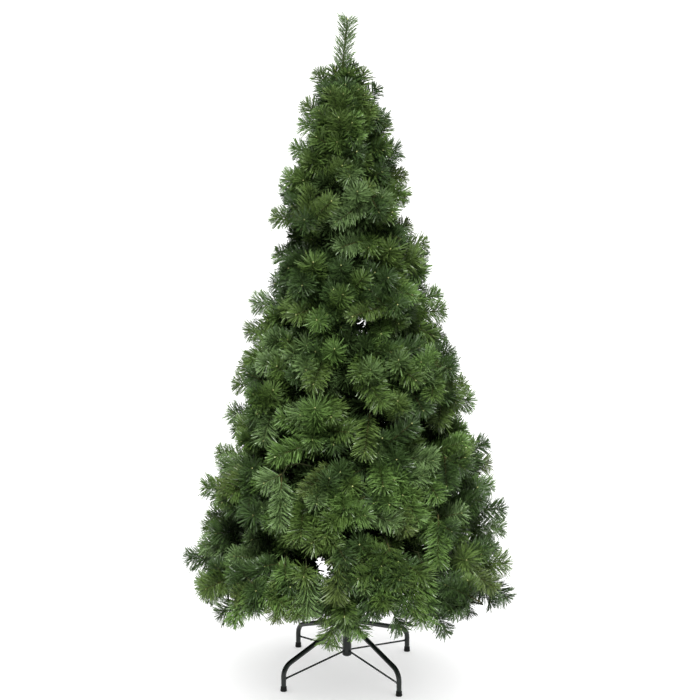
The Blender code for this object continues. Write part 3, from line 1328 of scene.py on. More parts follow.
@dataclass(frozen=True)
class View:
    """The photograph's view: where its camera stands and how its 700 pixel frame is laid out.

    Args:
        distance: From the camera to the tree's axis.
        height: Of the camera above the floor.
        pitch: How far the camera looks down, in degrees.
        focal: Focal length in pixels.
        axis_column: The column that the tree's axis falls in.
        side: Width and height of the frame in pixels.
    """

    distance: float = 4.70
    height: float = 2.0049
    pitch: float = 13.019
    focal: float = 1800.8
    axis_column: float = 347.0
    side: float = 700.0

    @property
    def eye(self) -> np.ndarray:
        """Where the camera stands."""
        return np.array([0.0, -self.distance, self.height])

    @property
    def axes(self) -> tuple[np.ndarray, np.ndarray, np.ndarray]:
        """The frame's directions.

        Returns:
            Its right, its up, and the way the camera looks.
        """
        cosine = math.cos(math.radians(self.pitch))
        sine = math.sin(math.radians(self.pitch))
        return np.array([1.0, 0.0, 0.0]), np.array([0.0, sine, cosine]), np.array([0.0, cosine, -sine])

    def ray(self, column: float, row: float) -> np.ndarray:
        """The direction of sight through a pixel.

        Args:
            column: The pixel's column.
            row: Its row.

        Returns:
            A unit vector.
        """
        right, up, ahead = self.axes
        aside = right * (column - self.axis_column) / self.focal
        above = up * (self.side / 2.0 - row) / self.focal
        return unit(ahead + aside + above)

    def on_axis_plane(self, column: float, row: float) -> np.ndarray:
        """The point seen at a pixel in the upright plane through the tree's axis."""
        ray = self.ray(column, row)
        return self.eye + ray * (self.distance / ray[1])

    def heading(self, aim: float, toward: float) -> np.ndarray:
        """A direction that shows at an angle on the frame and leans toward the camera.

        Args:
            aim: The angle on the frame, in degrees, with 0 to the right and 90 up.
            toward: The lean toward the camera, in degrees.

        Returns:
            A unit vector.
        """
        right, up, ahead = self.axes
        turn = math.radians(aim)
        lean = math.radians(toward)
        flat = math.cos(turn) * right + math.sin(turn) * up
        return math.cos(lean) * flat - math.sin(lean) * ahead


VIEW = View()


@dataclass(frozen=True)
class ShownTip:
    """A bough's tip that stands out in the photograph.

    Args:
        column: The column that the spray's rounded end reaches.
        row: The row that it reaches.
        aim: The way it points on the frame, in degrees, with 0 to the right and 90 up.
        toward: How far it leans toward the camera, in degrees.
        front: Whether it stands on the crown's near face, and not at its outline.
        tone: The tone of its needles, where it isn't dealt by chance.
    """

    column: float
    row: float
    aim: float
    toward: float = 0.0
    front: bool = False
    tone: Tone | None = None

    # Length of the spray's rounded end beyond the stem's end
    DOME = 0.017
    # How far toward the camera a near tip stands out of the crown's face
    PROUD = 0.009
    # Height below which the crown's face is taken to go straight down
    LOWEST_FACE = 0.28
    # Where the search for the crown's face starts, before the axis, and its stride
    SEARCH_START = 0.6
    SEARCH_STRIDE = 0.004
    # How far before and behind the axis outline tips stand, as a share of their distance from it
    DEPTH = 0.30

    def place(self, crown: Crown) -> tuple[np.ndarray, np.ndarray]:
        """Where the stem ends and its heading.

        A near tip stands on the crown's face. Outline tips stand at different depths, so that they
        don't line up in one upright plane.

        Args:
            crown: The foliage's space.

        Returns:
            The stem's end and a unit vector.
        """
        heading = VIEW.heading(self.aim, self.toward)
        found = VIEW.on_axis_plane(self.column, self.row)
        if self.front:
            ray = VIEW.ray(self.column, self.row)
            nearest = VIEW.distance - self.SEARCH_START
            for reach in np.arange(nearest, np.linalg.norm(found - VIEW.eye), self.SEARCH_STRIDE):
                point = VIEW.eye + ray * reach
                height = max(float(point[2]), self.LOWEST_FACE)
                if math.hypot(point[0], point[1]) < crown.radius(math.atan2(point[1], point[0]), height):
                    found = point - ray * self.PROUD
                    break
        else:
            share = (GOLDEN_TURN * self.row % 1.0) * 2.0 - 1.0
            found = found + VIEW.ray(self.column, self.row) * share * self.DEPTH * abs(float(found[0]))
        return found - heading * self.DOME, heading


RIGHT_TIPS = (
    ShownTip(366, 66, 66, 12),
    ShownTip(381, 84, 44),
    ShownTip(381, 107, 22),
    ShownTip(390, 121, 48),
    ShownTip(402, 148, 20),
    ShownTip(410, 176, 4),
    ShownTip(411, 198, -20),
    ShownTip(412, 222, 30),
    ShownTip(429, 242, 14),
    ShownTip(428, 262, -8),
    ShownTip(428, 276, -24),
    ShownTip(442, 292, 24),
    ShownTip(448, 311, 2),
    ShownTip(444, 332, 20),
    ShownTip(455, 348, 22),
    ShownTip(457, 366, -4),
    ShownTip(468, 382, 24),
    ShownTip(475, 400, 4),
    ShownTip(464, 422, 10),
    ShownTip(490, 442, 20),
    ShownTip(493, 464, 2),
    ShownTip(497, 486, -6),
    ShownTip(508, 508, 4),
    ShownTip(507, 527, 0),
    ShownTip(492, 546, 0),
    ShownTip(511, 563, 2),
    ShownTip(511, 601, -38),
    ShownTip(472, 617, -58),
)
LEFT_TIPS = (
    ShownTip(316, 67, 116),
    ShownTip(302, 100, 138),
    ShownTip(299, 122, 168),
    ShownTip(300, 160, 176),
    ShownTip(289, 147, 166),
    ShownTip(280, 178, 170),
    ShownTip(280, 196, 196),
    ShownTip(269, 218, 182),
    ShownTip(272, 252, 160),
    ShownTip(269, 284, 184),
    ShownTip(250, 302, 176),
    ShownTip(243, 332, 188),
    ShownTip(239, 362, 150),
    ShownTip(231, 384, 180),
    ShownTip(227, 410, 160),
    ShownTip(229, 431, 186),
    ShownTip(214, 450, 164),
    ShownTip(217, 468, 186),
    ShownTip(200, 486, 176),
    ShownTip(206, 515, 184),
    ShownTip(202, 529, 186),
    ShownTip(198, 543, 172),
    ShownTip(184, 559, 184),
    ShownTip(195, 584, 186),
    ShownTip(203, 600, 214),
    ShownTip(216, 616, 206),
)
FRONT_TIPS = (
    ShownTip(439, 461, -4, 24, True, Tone.GREY),
    ShownTip(467, 512, 14, 28, True, Tone.GREY),
    ShownTip(456, 545, -30, 30, True),
    ShownTip(472, 590, -20, 24, True),
    ShownTip(250, 614, 240, 20, True),
    ShownTip(276, 624, 262, 10, True, Tone.OLIVE),
    ShownTip(300, 622, 285, 20, True),
    ShownTip(312, 606, 250, 35, True),
    ShownTip(288, 608, 330, 35, True),
    ShownTip(326, 648, 250, 6, True),
    ShownTip(296, 236, 170, 40, True),
    ShownTip(308, 240, 200, 60, True, Tone.LEAF),
    ShownTip(292, 231, 176, 16, True),
    ShownTip(236, 427, 182, 18, True),
    ShownTip(398, 212, 0, 22, True),
    ShownTip(364, 640, 296, 14, True),
    ShownTip(347, 636, 268, 6, True),
    ShownTip(308, 620, 272, 12, True),
    ShownTip(230, 597, 190, 20, True),
    ShownTip(344, 622, 268, 40, True),
    ShownTip(404, 634, -62, 6, True),
    ShownTip(422, 628, 270, 10, True),
    ShownTip(449, 638, -62, 10, True),
    ShownTip(232, 629, 250, 8, True),
    ShownTip(402, 594, 286, 24, True),
    ShownTip(303, 166, 190, 16, True),
    ShownTip(298, 160, 176, 14, True),
    ShownTip(303, 158, 168, 26, True),
    ShownTip(368, 90, 50, 18, True),
    ShownTip(280, 268, 180, 20, True),
    ShownTip(290, 238, 190, 22, True),
    ShownTip(286, 207, 190, 14, True),
    ShownTip(392, 144, 10, 22, True),
    ShownTip(372, 622, 275, 14, True),
    ShownTip(486, 500, 4, 22, True),
    ShownTip(468, 440, 20, 22, True),
    ShownTip(236, 442, 186, 22, True),
    ShownTip(264, 342, 180, 22, True),
    ShownTip(268, 316, 180, 22, True),
    ShownTip(210, 534, 184, 16, True),
    ShownTip(246, 400, 190, 20, True),
    ShownTip(266, 538, 240, 35, True),
    ShownTip(308, 545, 200, 55, True),
    ShownTip(338, 547, -20, 50, True, Tone.LEAF),
    ShownTip(324, 541, 250, 55, True, Tone.MOSS),
    ShownTip(268, 528, 230, 45, True, Tone.BRIGHT),
    ShownTip(300, 541, 265, 45, True, Tone.LEAF),
    ShownTip(284, 556, 262, 45, True, Tone.BRIGHT),
    ShownTip(382, 338, 280, 45, True, Tone.BRIGHT),
    ShownTip(350, 336, 215, 50, True, Tone.GREY),
    ShownTip(499, 590, -30, 20, True, Tone.OLIVE),
    ShownTip(292, 546, 250, 35, True),
    ShownTip(397, 313, -40, 40, True, Tone.LEAF),
    ShownTip(403, 326, -30, 35, True),
    ShownTip(426, 415, -60, 35, True),
    ShownTip(348, 318, 200, 40, True, Tone.MOSS),
    ShownTip(312, 388, 250, 50, True),
    ShownTip(440, 502, 300, 35, True),
    ShownTip(382, 230, -20, 40, True),
    ShownTip(292, 316, 200, 45, True),
    ShownTip(408, 536, -70, 35, True),
    ShownTip(238, 440, 180, 20, True),
    ShownTip(248, 394, 178, 24, True),
    ShownTip(251, 403, 192, 34, True),
    ShownTip(262, 320, 184, 12, True),
    ShownTip(408, 616, 290, 14, True),
    ShownTip(414, 618, 275, 18, True),
    ShownTip(454, 614, 300, 14, True),
    ShownTip(250, 406, 200, 14, True),
    ShownTip(312, 556, 300, 26, True, Tone.BRIGHT),
    ShownTip(385, 408, -56, 30, True),
    ShownTip(344, 88, 86, 20, True, Tone.LEAF),
    ShownTip(328, 86, 112, 16, True, Tone.MOSS),
    ShownTip(361, 84, 66, 16, True, Tone.LEAF),
    ShownTip(316, 106, 124, 22, True, Tone.LEAF),
    ShownTip(338, 112, 100, 30, True, Tone.MOSS),
    ShownTip(374, 106, 48, 22, True, Tone.MOSS),
    ShownTip(312, 134, 150, 30, True, Tone.LEAF),
    ShownTip(357, 112, 60, 40, True, Tone.BRIGHT),
    ShownTip(360, 142, -50, 50, True),
    ShownTip(319, 150, 60, 45, True),
    ShownTip(345, 162, 50, 45, True),
    ShownTip(300, 180, 180, 60, True),
    ShownTip(358, 188, 80, 60, True),
    ShownTip(384, 194, 60, 55, True),
    ShownTip(335, 198, 40, 40, True),
    ShownTip(331, 225, 215, 25, True, Tone.GREY),
    ShownTip(372, 240, 80, 62, True, Tone.BRIGHT),
    ShownTip(392, 246, 60, 60, True),
    ShownTip(338, 248, 200, 45, True),
    ShownTip(313, 258, 90, 50, True),
    ShownTip(341, 262, 90, 60, True),
    ShownTip(366, 274, 50, 40, True),
    ShownTip(302, 288, 270, 62, True),
    ShownTip(345, 291, 60, 50, True),
    ShownTip(418, 296, -12, 20, True),
    ShownTip(368, 304, -20, 60, True),
    ShownTip(414, 330, -40, 25, True, Tone.GREY),
    ShownTip(285, 335, 118, 25, True),
    ShownTip(298, 337, 240, 25, True),
    ShownTip(366, 340, 100, 50, True),
    ShownTip(335, 346, 80, 62, True, Tone.BRIGHT),
    ShownTip(306, 358, 90, 60, True),
    ShownTip(398, 357, 100, 60, True),
    ShownTip(257, 366, 190, 20, True, Tone.GREY),
    ShownTip(370, 367, 100, 62, True),
    ShownTip(306, 373, 270, 62, True),
    ShownTip(359, 378, 250, 60, True),
    ShownTip(442, 381, -5, 20, True),
    ShownTip(420, 384, -40, 25, True),
    ShownTip(275, 387, 60, 50, True),
    ShownTip(398, 398, 90, 60, True),
    ShownTip(431, 402, 260, 40, True),
    ShownTip(315, 405, 90, 60, True, Tone.BRIGHT),
    ShownTip(297, 416, 200, 60, True),
    ShownTip(332, 420, 290, 60, True),
    ShownTip(416, 420, 42, 25, True),
    ShownTip(438, 428, 260, 40, True),
    ShownTip(283, 432, 160, 55, True),
    ShownTip(344, 436, 0, 60, True),
    ShownTip(387, 445, 90, 60, True, Tone.BRIGHT),
    ShownTip(262, 446, 255, 25, True, Tone.GREY),
    ShownTip(314, 448, 270, 60, True),
    ShownTip(333, 448, 260, 60, True),
    ShownTip(270, 459, 200, 28, True, Tone.BRIGHT),
    ShownTip(364, 458, 262, 35, True),
    ShownTip(470, 458, 0, 40, True),
    ShownTip(244, 474, 130, 40, True),
    ShownTip(330, 474, 80, 40, True, Tone.DEEP),
    ShownTip(384, 490, 280, 55, True),
    ShownTip(447, 490, 270, 55, True, Tone.DEEP),
    ShownTip(421, 496, 0, 35, True),
    ShownTip(228, 497, 215, 30, True),
    ShownTip(300, 496, 220, 40, True, Tone.OLIVE),
    ShownTip(289, 504, 20, 45, True, Tone.GREY),
    ShownTip(392, 508, 310, 52, True, Tone.BRIGHT),
    ShownTip(317, 508, 270, 55, True),
    ShownTip(344, 513, 270, 55, True),
    ShownTip(370, 516, 0, 40, True, Tone.BRIGHT),
    ShownTip(247, 516, 262, 35, True),
    ShownTip(326, 526, 215, 30, True),
    ShownTip(402, 526, -20, 25, True, Tone.GREY),
    ShownTip(421, 526, 300, 25, True),
    ShownTip(279, 532, 268, 20, True, Tone.GREY),
    ShownTip(247, 541, 190, 40, True),
    ShownTip(421, 540, -10, 35, True),
    ShownTip(350, 548, 300, 45, True),
    ShownTip(391, 548, 270, 60, True),
    ShownTip(462, 543, -60, 30, True),
    ShownTip(343, 555, 155, 30, True, Tone.GREY),
    ShownTip(229, 556, 170, 40, True),
    ShownTip(438, 570, 268, 30, True, Tone.BRIGHT),
    ShownTip(297, 577, 150, 40, True),
    ShownTip(353, 581, 200, 35, True),
    ShownTip(441, 583, 150, 40, True),
    ShownTip(228, 586, 190, 30, True),
    ShownTip(365, 594, 270, 50, True),
    ShownTip(396, 592, -30, 35, True),
    ShownTip(265, 597, 190, 30, True, Tone.BRIGHT),
    ShownTip(336, 606, 268, 10, True, Tone.OLIVE),
    ShownTip(385, 611, 280, 25, True),
)


@dataclass(frozen=True)
class Sight:
    """A round patch of the photograph, and the line of sight through its middle.

    Args:
        column: Its middle column.
        row: Its middle row.
        radius: Its radius in metres.
    """

    column: float
    row: float
    radius: float

    def covers(self, points: np.ndarray, overhang: float = 0.0) -> np.ndarray:
        """Which points the patch covers, before or behind it.

        Args:
            points: The points, one row each.
            overhang: How far past the patch's edge it still counts.

        Returns:
            A truth value for each point.
        """
        ray = VIEW.ray(self.column, self.row)
        offset = points - VIEW.eye
        gap = offset - (offset @ ray)[:, None] * ray
        return np.linalg.norm(gap, axis=1) < self.radius + overhang


OPENINGS = (
    Sight(320.0, 562.0, 0.018),
    Sight(326.0, 571.0, 0.022),
    Sight(362.0, 321.0, 0.016),
    Sight(388.0, 617.0, 0.016),
    Sight(479.0, 606.0, 0.024),
)
HOLLOWS = (
    Sight(370.0, 138.0, 0.018),
    Sight(330.0, 192.0, 0.028),
    Sight(365.0, 217.0, 0.024),
    Sight(332.0, 231.0, 0.022),
    Sight(372.0, 263.0, 0.024),
    Sight(291.0, 326.0, 0.018),
    Sight(380.0, 320.0, 0.018),
    Sight(346.0, 389.0, 0.016),
    Sight(297.0, 490.0, 0.012),
    Sight(345.0, 357.0, 0.024),
    Sight(285.0, 402.0, 0.024),
    Sight(417.0, 410.0, 0.018),
    Sight(382.0, 418.0, 0.020),
    Sight(440.0, 449.0, 0.026),
    Sight(354.0, 455.0, 0.024),
    Sight(257.0, 455.0, 0.026),
    Sight(437.0, 468.0, 0.022),
    Sight(303.0, 473.0, 0.028),
    Sight(325.0, 465.0, 0.014),
    Sight(370.0, 492.0, 0.018),
    Sight(460.0, 490.0, 0.016),
    Sight(235.0, 525.0, 0.024),
    Sight(375.0, 532.0, 0.030),
    Sight(470.0, 540.0, 0.020),
    Sight(414.0, 552.0, 0.016),
    Sight(322.0, 588.0, 0.010),
    Sight(268.0, 609.0, 0.010),
    Sight(436.0, 577.0, 0.022),
    Sight(268.0, 586.0, 0.014),
    Sight(355.0, 592.0, 0.014),
    Sight(412.0, 596.0, 0.016),
    Sight(228.0, 597.0, 0.018),
    Sight(335.0, 620.0, 0.016),
)


@dataclass(frozen=True)
class Leader:
    """The leading shoot, and the ring of sprays round its foot.

    Args:
        foot: Where the shoot's needles begin.
        end: Where its stem ends.
        count: How many sprays stand in the ring.
        turn: Turn of the first of them round the pole, in radians.
        rise: Their least and greatest angle above level, in degrees.
        radius: Distance of their ends from the ring's middle.
        offset: How far the ring's middle is to the right of the pole.
        top: Height of the first one's end.
        drop: How much lower each next one ends.
        length: Length of their stems.
    """

    foot: tuple[float, float, float] = (-0.014, 0.0, 1.640)
    end: tuple[float, float, float] = (0.001, 0.0, 1.789)
    count: int = 7
    turn: float = 0.45
    rise: tuple[float, float] = (64.0, 80.0)
    radius: float = 0.024
    offset: float = -0.008
    top: float = 1.672
    drop: float = 0.009
    length: float = 0.11


@dataclass
class Foliage:
    """Everything that grows on the limbs.

    Args:
        crown: The foliage's space.
        limbs: The frame's boughs by name.
        spacing: Distance between boughs' tips.
        clear: Share of it that other boughs keep from the ones that the photograph shows.
        lowest_tip: Height of the lowest boughs' tips.
        highest_tip: Height of the highest, below the leading shoot's foot.
        lowest: Height that no spray's stem goes under.
        wander: How far headings stray, in radians.
        margin: How far the stems' ends stay inside the crown's face.
        inner_margin: How far the inner sprays, in painted shade, stay inside it.
        inner_top: Height that they stay below.
        hollow_share: How far out the painted-shade sprays in a hollow reach, as a share of the crown's face.
        overhang: How far past a hollow's edge the stems of the crown's near face keep.
        tuck: How far the side sprays of the shown boughs are drawn back.
        end_length: Shortest and longest stem of a bough's last spray.
        side_length: The same of its side sprays.
        side_back: How far behind the tip they fork off, at least and at most.
        side_angle: How far they turn from the last spray's heading, in degrees.
        side_chance: Chance of each spray of the second pair.
        roll: How far the pairs of side sprays are turned about that heading, in radians.
        sway: How far an outer spray's end swings aside, as a share of its length.
        deep_chance: Chance of the deep tone for a side spray, as painted shade on sprays that sit behind the
            bough's tip.
        own_chance: Chance of the deep tone or one of its own, and not its bough's.
        core_count: How many short sprays stand on the pole.
        core_foot: Height of the lowest of them.
        core_radius: Distance from the axis where they start.
        core_length: Length of the longest of them.
        core_share: Length of the others, as a share of the crown's radius.
        leader: The leading shoot and its ring.
        sprays: The sprays that have grown.
        forks: The centrelines of the boughs that carry them.
        rng: The present run of chance.
    """

    crown: Crown
    limbs: dict[str, Limb]
    spacing: float = 0.118
    clear: float = 0.62
    lowest_tip: float = 0.290
    highest_tip: float = 1.60
    lowest: float = 0.240
    wander: float = math.radians(25.0)
    margin: float = 0.020
    inner_margin: float = 0.060
    inner_top: float = 1.40
    hollow_share: float = 0.66
    overhang: float = 0.010
    tuck: float = 0.028
    end_length: tuple[float, float] = (0.115, 0.145)
    side_length: tuple[float, float] = (0.090, 0.120)
    side_back: tuple[float, float] = (0.075, 0.110)
    side_angle: tuple[float, float] = (42.0, 68.0)
    side_chance: float = 0.55
    roll: float = math.radians(24.0)
    sway: float = 0.07
    deep_chance: float = 0.38
    own_chance: float = 0.70
    core_count: int = 130
    core_foot: float = 0.30
    core_radius: float = 0.010
    core_length: float = 0.150
    core_share: float = 0.6
    leader: Leader = Leader()
    sprays: list[Spray] = field(default_factory=list)
    forks: list[np.ndarray] = field(default_factory=list)
    rng: np.random.Generator = field(default_factory=lambda: np.random.default_rng(SEED))

    # Strides in height and turn of the crown's measured area
    HEIGHT_STRIDE = 0.01
    TURN_STRIDE = 0.3
    # Scatter of the spiral's tips: in height, as a share of the spacing, in turn, and inward
    SPIRAL_RISE = 0.12
    SPIRAL_TURN = 0.02
    SPIRAL_DEPTH = 0.050
    # Spread of the lowest tips in height
    LOWEST_SPREAD = 0.070
    # How far under its tip a top bough leaves the pole, with a share of its reach added
    POLE_DROP = 0.06
    POLE_SLOPE = 0.7
    # How much of a fork's curve runs on from its limb and into its spray, as a share of its span
    LEAD = 0.35
    # How much further than needed a side spray is cut back, and the shortest that it gets
    CUT_BACK = 1.15
    SHORTEST = 0.050
    # Heights between which needles grow shorter, and their share of the full length at both
    SHORTENING = ((1.35, 1.62), (1.0, 0.86))
    NEEDLE_SCATTER = 0.09
    # Shares of a stem where it is tested against the openings and against the hollows
    OPENING_TESTS = np.linspace(0.25, 1.0, 7)
    HOLLOW_TESTS = np.array([[0.4], [0.7], [1.0]])
    # Stem lengths behind a tip that keep other boughs away, and that no hollow may have
    KEPT_END = 0.055
    SEEN_END = 0.05
    # How far the headings of inner sprays stray
    LOOSE = 0.6
    # Sprays of painted shade in a hollow: their number, length, outward lean, setback, depth and stray
    DIM_COUNT = 2
    DIM_LENGTH = 0.11
    DIM_LEAN = 0.4
    DIM_BACK = 0.06
    DIM_DEPTH = 0.03
    DIM_STRAY = 0.016

    def reseed(self, *numbers: int) -> None:
        """Starts a bough's own run of chance, so that no bough depends on the others."""
        self.rng = np.random.default_rng((SEED, *numbers))

    def tone(self) -> Tone:
        """Deals a tone to a spray."""
        shares = np.array([tone.share for tone in Tone])
        return list(Tone)[self.rng.choice(len(shares), p=shares / shares.sum())]

    def spiral_tips(self) -> Iterator[tuple[np.ndarray, np.ndarray]]:
        """Places boughs' tips evenly over the crown on one long spiral.

        Yields:
            Each tip and its heading.
        """
        heights = np.arange(self.lowest_tip, self.highest_tip, self.HEIGHT_STRIDE)
        turns = np.arange(0.0, 2.0 * math.pi, self.TURN_STRIDE)
        girths = []
        for height in heights:
            radii = [self.crown.radius(turn, height) for turn in turns]
            girths.append(2.0 * math.pi * np.mean(radii))
        area = np.cumsum(girths) * self.HEIGHT_STRIDE
        count = int(area[-1] / self.spacing**2)
        for number in range(count):
            self.reseed(number)
            share = (number + self.rng.uniform(0.2, 0.8)) / count
            height = float(np.interp(share * area[-1], area, heights))
            height += self.rng.normal(0.0, self.SPIRAL_RISE) * self.spacing
            height = max(height, self.lowest_tip + self.rng.uniform(0.0, self.LOWEST_SPREAD))
            turn = number * GOLDEN_TURN + self.rng.normal(0.0, self.SPIRAL_TURN)
            reach = self.crown.radius(turn, height) - self.margin - self.rng.uniform(0.0, self.SPIRAL_DEPTH)
            rise = Heading.rise(height) + self.rng.normal(0.0, self.wander)
            swing = turn + self.rng.normal(0.0, self.wander)
            yield polar(reach, turn, height), polar(math.cos(rise), swing, math.sin(rise))

    def limb_for(self, tip: np.ndarray) -> tuple[np.ndarray, np.ndarray]:
        """Where the bough to a tip forks off.

        Args:
            tip: The bough's tip.

        Returns:
            The end of its mass's limb, or a point of the pole near the top, and the direction there.
        """
        name = self.crown.nearest_mass(tip)
        limb = self.limbs.get(name.replace("mass", "bough"))
        if limb is None:
            radius = math.hypot(tip[0], tip[1])
            start = np.array([0.0, 0.0, tip[2] - self.POLE_DROP - self.POLE_SLOPE * radius])
            return start, unit(tip - start)
        return limb.end, limb.axis

    def is_hollow(self, base: np.ndarray, end: np.ndarray) -> bool:
        """Whether a spray of the crown's near half would cover a dark hollow of the photograph.

        Args:
            base: Where its stem starts.
            end: Where it ends.

        Returns:
            True where it would.
        """
        face = self.crown.radius(math.atan2(end[1], end[0]), float(end[2]))
        if end[1] > 0.0 or math.hypot(end[0], end[1]) < self.hollow_share * face:
            return False
        points = base + (end - base) * self.HOLLOW_TESTS
        return any(hollow.covers(points, self.overhang).any() for hollow in HOLLOWS)

    def needle_cut(self, height: float, film: NeedleCut = TIP_CUT) -> NeedleCut:
        """The cut of an outer spray's needles, which are shorter near the top."""
        size = self.rng.normal(1.0, self.NEEDLE_SCATTER) * float(np.interp(height, *self.SHORTENING))
        return replace(film, length=film.length * size)

    def add(self, spray: Spray) -> bool:
        """Adds one spray with its own run of chance, unless its stem crosses an opening.

        Args:
            spray: The spray, whose seed is dealt here.

        Returns:
            Whether it was added.
        """
        seed = int(self.rng.integers(1 << 30))
        points = spray.at(spray.length * self.OPENING_TESTS)
        if any(opening.covers(points).any() for opening in OPENINGS):
            return False
        self.sprays.append(replace(spray, seed=seed))
        return True

    def add_outer(self, base: np.ndarray, heading: np.ndarray, length: float, tone: Tone) -> None:
        """Adds one side spray of a bough, unless it covers a hollow.

        It is kept inside the crown's face and above the lowest height.

        Args:
            base: Where its stem starts.
            heading: Its direction, of any length.
            length: The stem's length, before it is cut back.
            tone: Its bough's tone.
        """
        heading = unit(heading)
        end = base + heading * length
        limit = self.crown.radius(math.atan2(end[1], end[0]), float(end[2])) - self.margin
        excess = math.hypot(end[0], end[1]) - limit
        if excess > 0.0:
            length = max(length - excess * self.CUT_BACK, self.SHORTEST)
        if base[2] + heading[2] * length < self.lowest:
            heading = unit(np.array([heading[0], heading[1], max((self.lowest - base[2]) / length, -0.9)]))
        bend = self.rng.normal(0.0, self.sway, 3) * length
        bend -= heading * np.dot(bend, heading)
        # Side sprays sit behind the tip: the deep tone that they get by chance here is painted shade.
        dealt = self.rng.random()
        if dealt < self.deep_chance:
            tone = Tone.DEEP
        elif dealt < self.own_chance:
            tone = self.tone()
        if not self.is_hollow(base, base + heading * length):
            self.add(Spray(base, heading, bend, length, self.needle_cut(float(end[2])), tone))

    def add_inner(self, base: np.ndarray, heading: np.ndarray, length: float) -> None:
        """Adds one inner spray in painted shade, where it stays well inside the crown's face.

        Args:
            base: Where its stem starts.
            heading: Its direction.
            length: Its length.
        """
        end = base + heading * length
        limit = self.crown.radius(math.atan2(end[1], end[0]), float(end[2])) - self.inner_margin
        if math.hypot(end[0], end[1]) < limit and self.lowest + 0.02 < end[2] < self.inner_top:
            # Painted shade: a dark film where the inside of the crown lies in shade.
            self.add(Spray(base, heading, np.zeros(3), length, INNER_CUT, Tone.SHADE, False))

    def grow_bough(
        self,
        tip: np.ndarray,
        heading: np.ndarray,
        tuck: float = 0.0,
        tone: Tone | None = None,
        film: NeedleCut = TIP_CUT,
    ) -> None:
        """Grows one bough from its limb to a tip, with the sprays that it ends in.

        Args:
            tip: Where its last spray's stem ends.
            heading: That spray's direction.
            tuck: How far the side sprays are drawn back from the tip.
            tone: The needles' tone, where it isn't dealt by chance.
            film: How that spray's film is cut.
        """
        start, axis = self.limb_for(tip)
        length = self.rng.uniform(*self.end_length)
        foot = tip - heading * length
        span = np.linalg.norm(foot - start)
        share = np.linspace(0.0, 1.0, 7)[:, None]
        lead = start + axis * span * self.LEAD
        trail = foot - heading * span * self.LEAD
        path = start * (1 - share) ** 3 + 3 * lead * share * (1 - share) ** 2
        path += 3 * trail * share**2 * (1 - share) + foot * share**3
        tone = tone or self.tone()
        cut = self.needle_cut(float(tip[2]), film)
        if not self.add(Spray(foot, heading, np.zeros(3), length, cut, tone)):
            return
        self.forks.append(path)
        level = across(heading)
        upright = np.cross(level, heading)
        roll = self.rng.normal(0.0, self.roll)
        fan = turned_about(upright, heading, roll)
        hinge = turned_about(level, heading, roll)
        for axis_of_turn, chance in ((fan, 1.0), (hinge, self.side_chance)):
            for side in (-1.0, 1.0):
                angle = side * math.radians(self.rng.uniform(*self.side_angle))
                back = self.rng.uniform(*self.side_back) + tuck
                direction = turned_about(heading, axis_of_turn, angle)
                reach = self.rng.uniform(*self.side_length)
                if self.rng.random() < chance:
                    self.add_outer(tip - heading * back, direction, reach, tone)
        for step in (1, 3, 5):
            along = unit(path[step + 1] - path[step - 1])
            direction = unit(along * 0.5 + self.rng.normal(0.0, self.LOOSE, 3))
            self.add_inner(path[step], direction, self.rng.uniform(0.07, 0.10))

    def fill_hollow(self, hollow: Sight) -> None:
        """Sets sprays of painted shade well inside the crown behind a hollow.

        Args:
            hollow: The hollow.
        """
        self.reseed(int(hollow.column), int(hollow.row))
        seen, _ = ShownTip(hollow.column, hollow.row, 0.0, 0.0, True).place(self.crown)
        outward = unit(np.array([seen[0], seen[1], 0.0]))
        foot = seen - outward * (1.0 - self.hollow_share) * math.hypot(seen[0], seen[1])
        for _ in range(self.DIM_COUNT):
            heading = unit(self.DIM_LEAN * outward + self.rng.normal(0.0, self.LOOSE, 3))
            base = foot - heading * self.DIM_BACK - outward * self.DIM_DEPTH
            base = base + self.rng.normal(0.0, self.DIM_STRAY, 3)
            # Painted shade: dark film set in the hollow, where the crown lies in shade.
            self.add(Spray(base, heading, np.zeros(3), self.DIM_LENGTH, HOLLOW_CUT, Tone.SHADE, False))

    def grow(self) -> None:
        """Grows the boughs that the photograph shows, all the others, the core and the top."""
        placed = []
        for shown in RIGHT_TIPS + LEFT_TIPS + FRONT_TIPS:
            self.reseed(int(shown.column), int(shown.row))
            tip, heading = shown.place(self.crown)
            placed += [tip, tip - self.KEPT_END * heading]
            film = TIP_CUT if shown.front else OUTLINE_CUT
            self.grow_bough(tip, heading, self.tuck, shown.tone, film)
        shown_ends = np.array(placed)
        for tip, heading in self.spiral_tips():
            if np.linalg.norm(shown_ends - tip, axis=1).min() < self.clear * self.spacing:
                continue
            if not self.is_hollow(tip - heading * self.SEEN_END, tip):
                self.grow_bough(tip, heading)
        for hollow in HOLLOWS:
            self.fill_hollow(hollow)
        self.grow_core()
        self.grow_top()

    def grow_core(self) -> None:
        """Grows sprays in painted shade along the limbs and close round the pole, which keep the crown's
        inside dark.
        """
        for limb in self.limbs.values():
            length = float(np.linalg.norm(limb.end - limb.root))
            # Painted shade: dark film along the limbs and round the pole, where the crown is in shade.
            self.add(Spray(limb.root, limb.axis, np.zeros(3), length, INNER_CUT, Tone.SHADE, False))
        for number in range(self.core_count):
            height = self.core_foot + (self.inner_top - self.core_foot) * number / self.core_count
            turn = number * GOLDEN_TURN
            heading = unit(polar(1.0, turn, self.rng.uniform(-0.2, 0.6)))
            reach = min(self.core_length, self.core_share * self.crown.radius(turn, height))
            base = polar(self.core_radius, turn, height)
            self.add(Spray(base, heading, np.zeros(3), reach, INNER_CUT, Tone.SHADE, False))

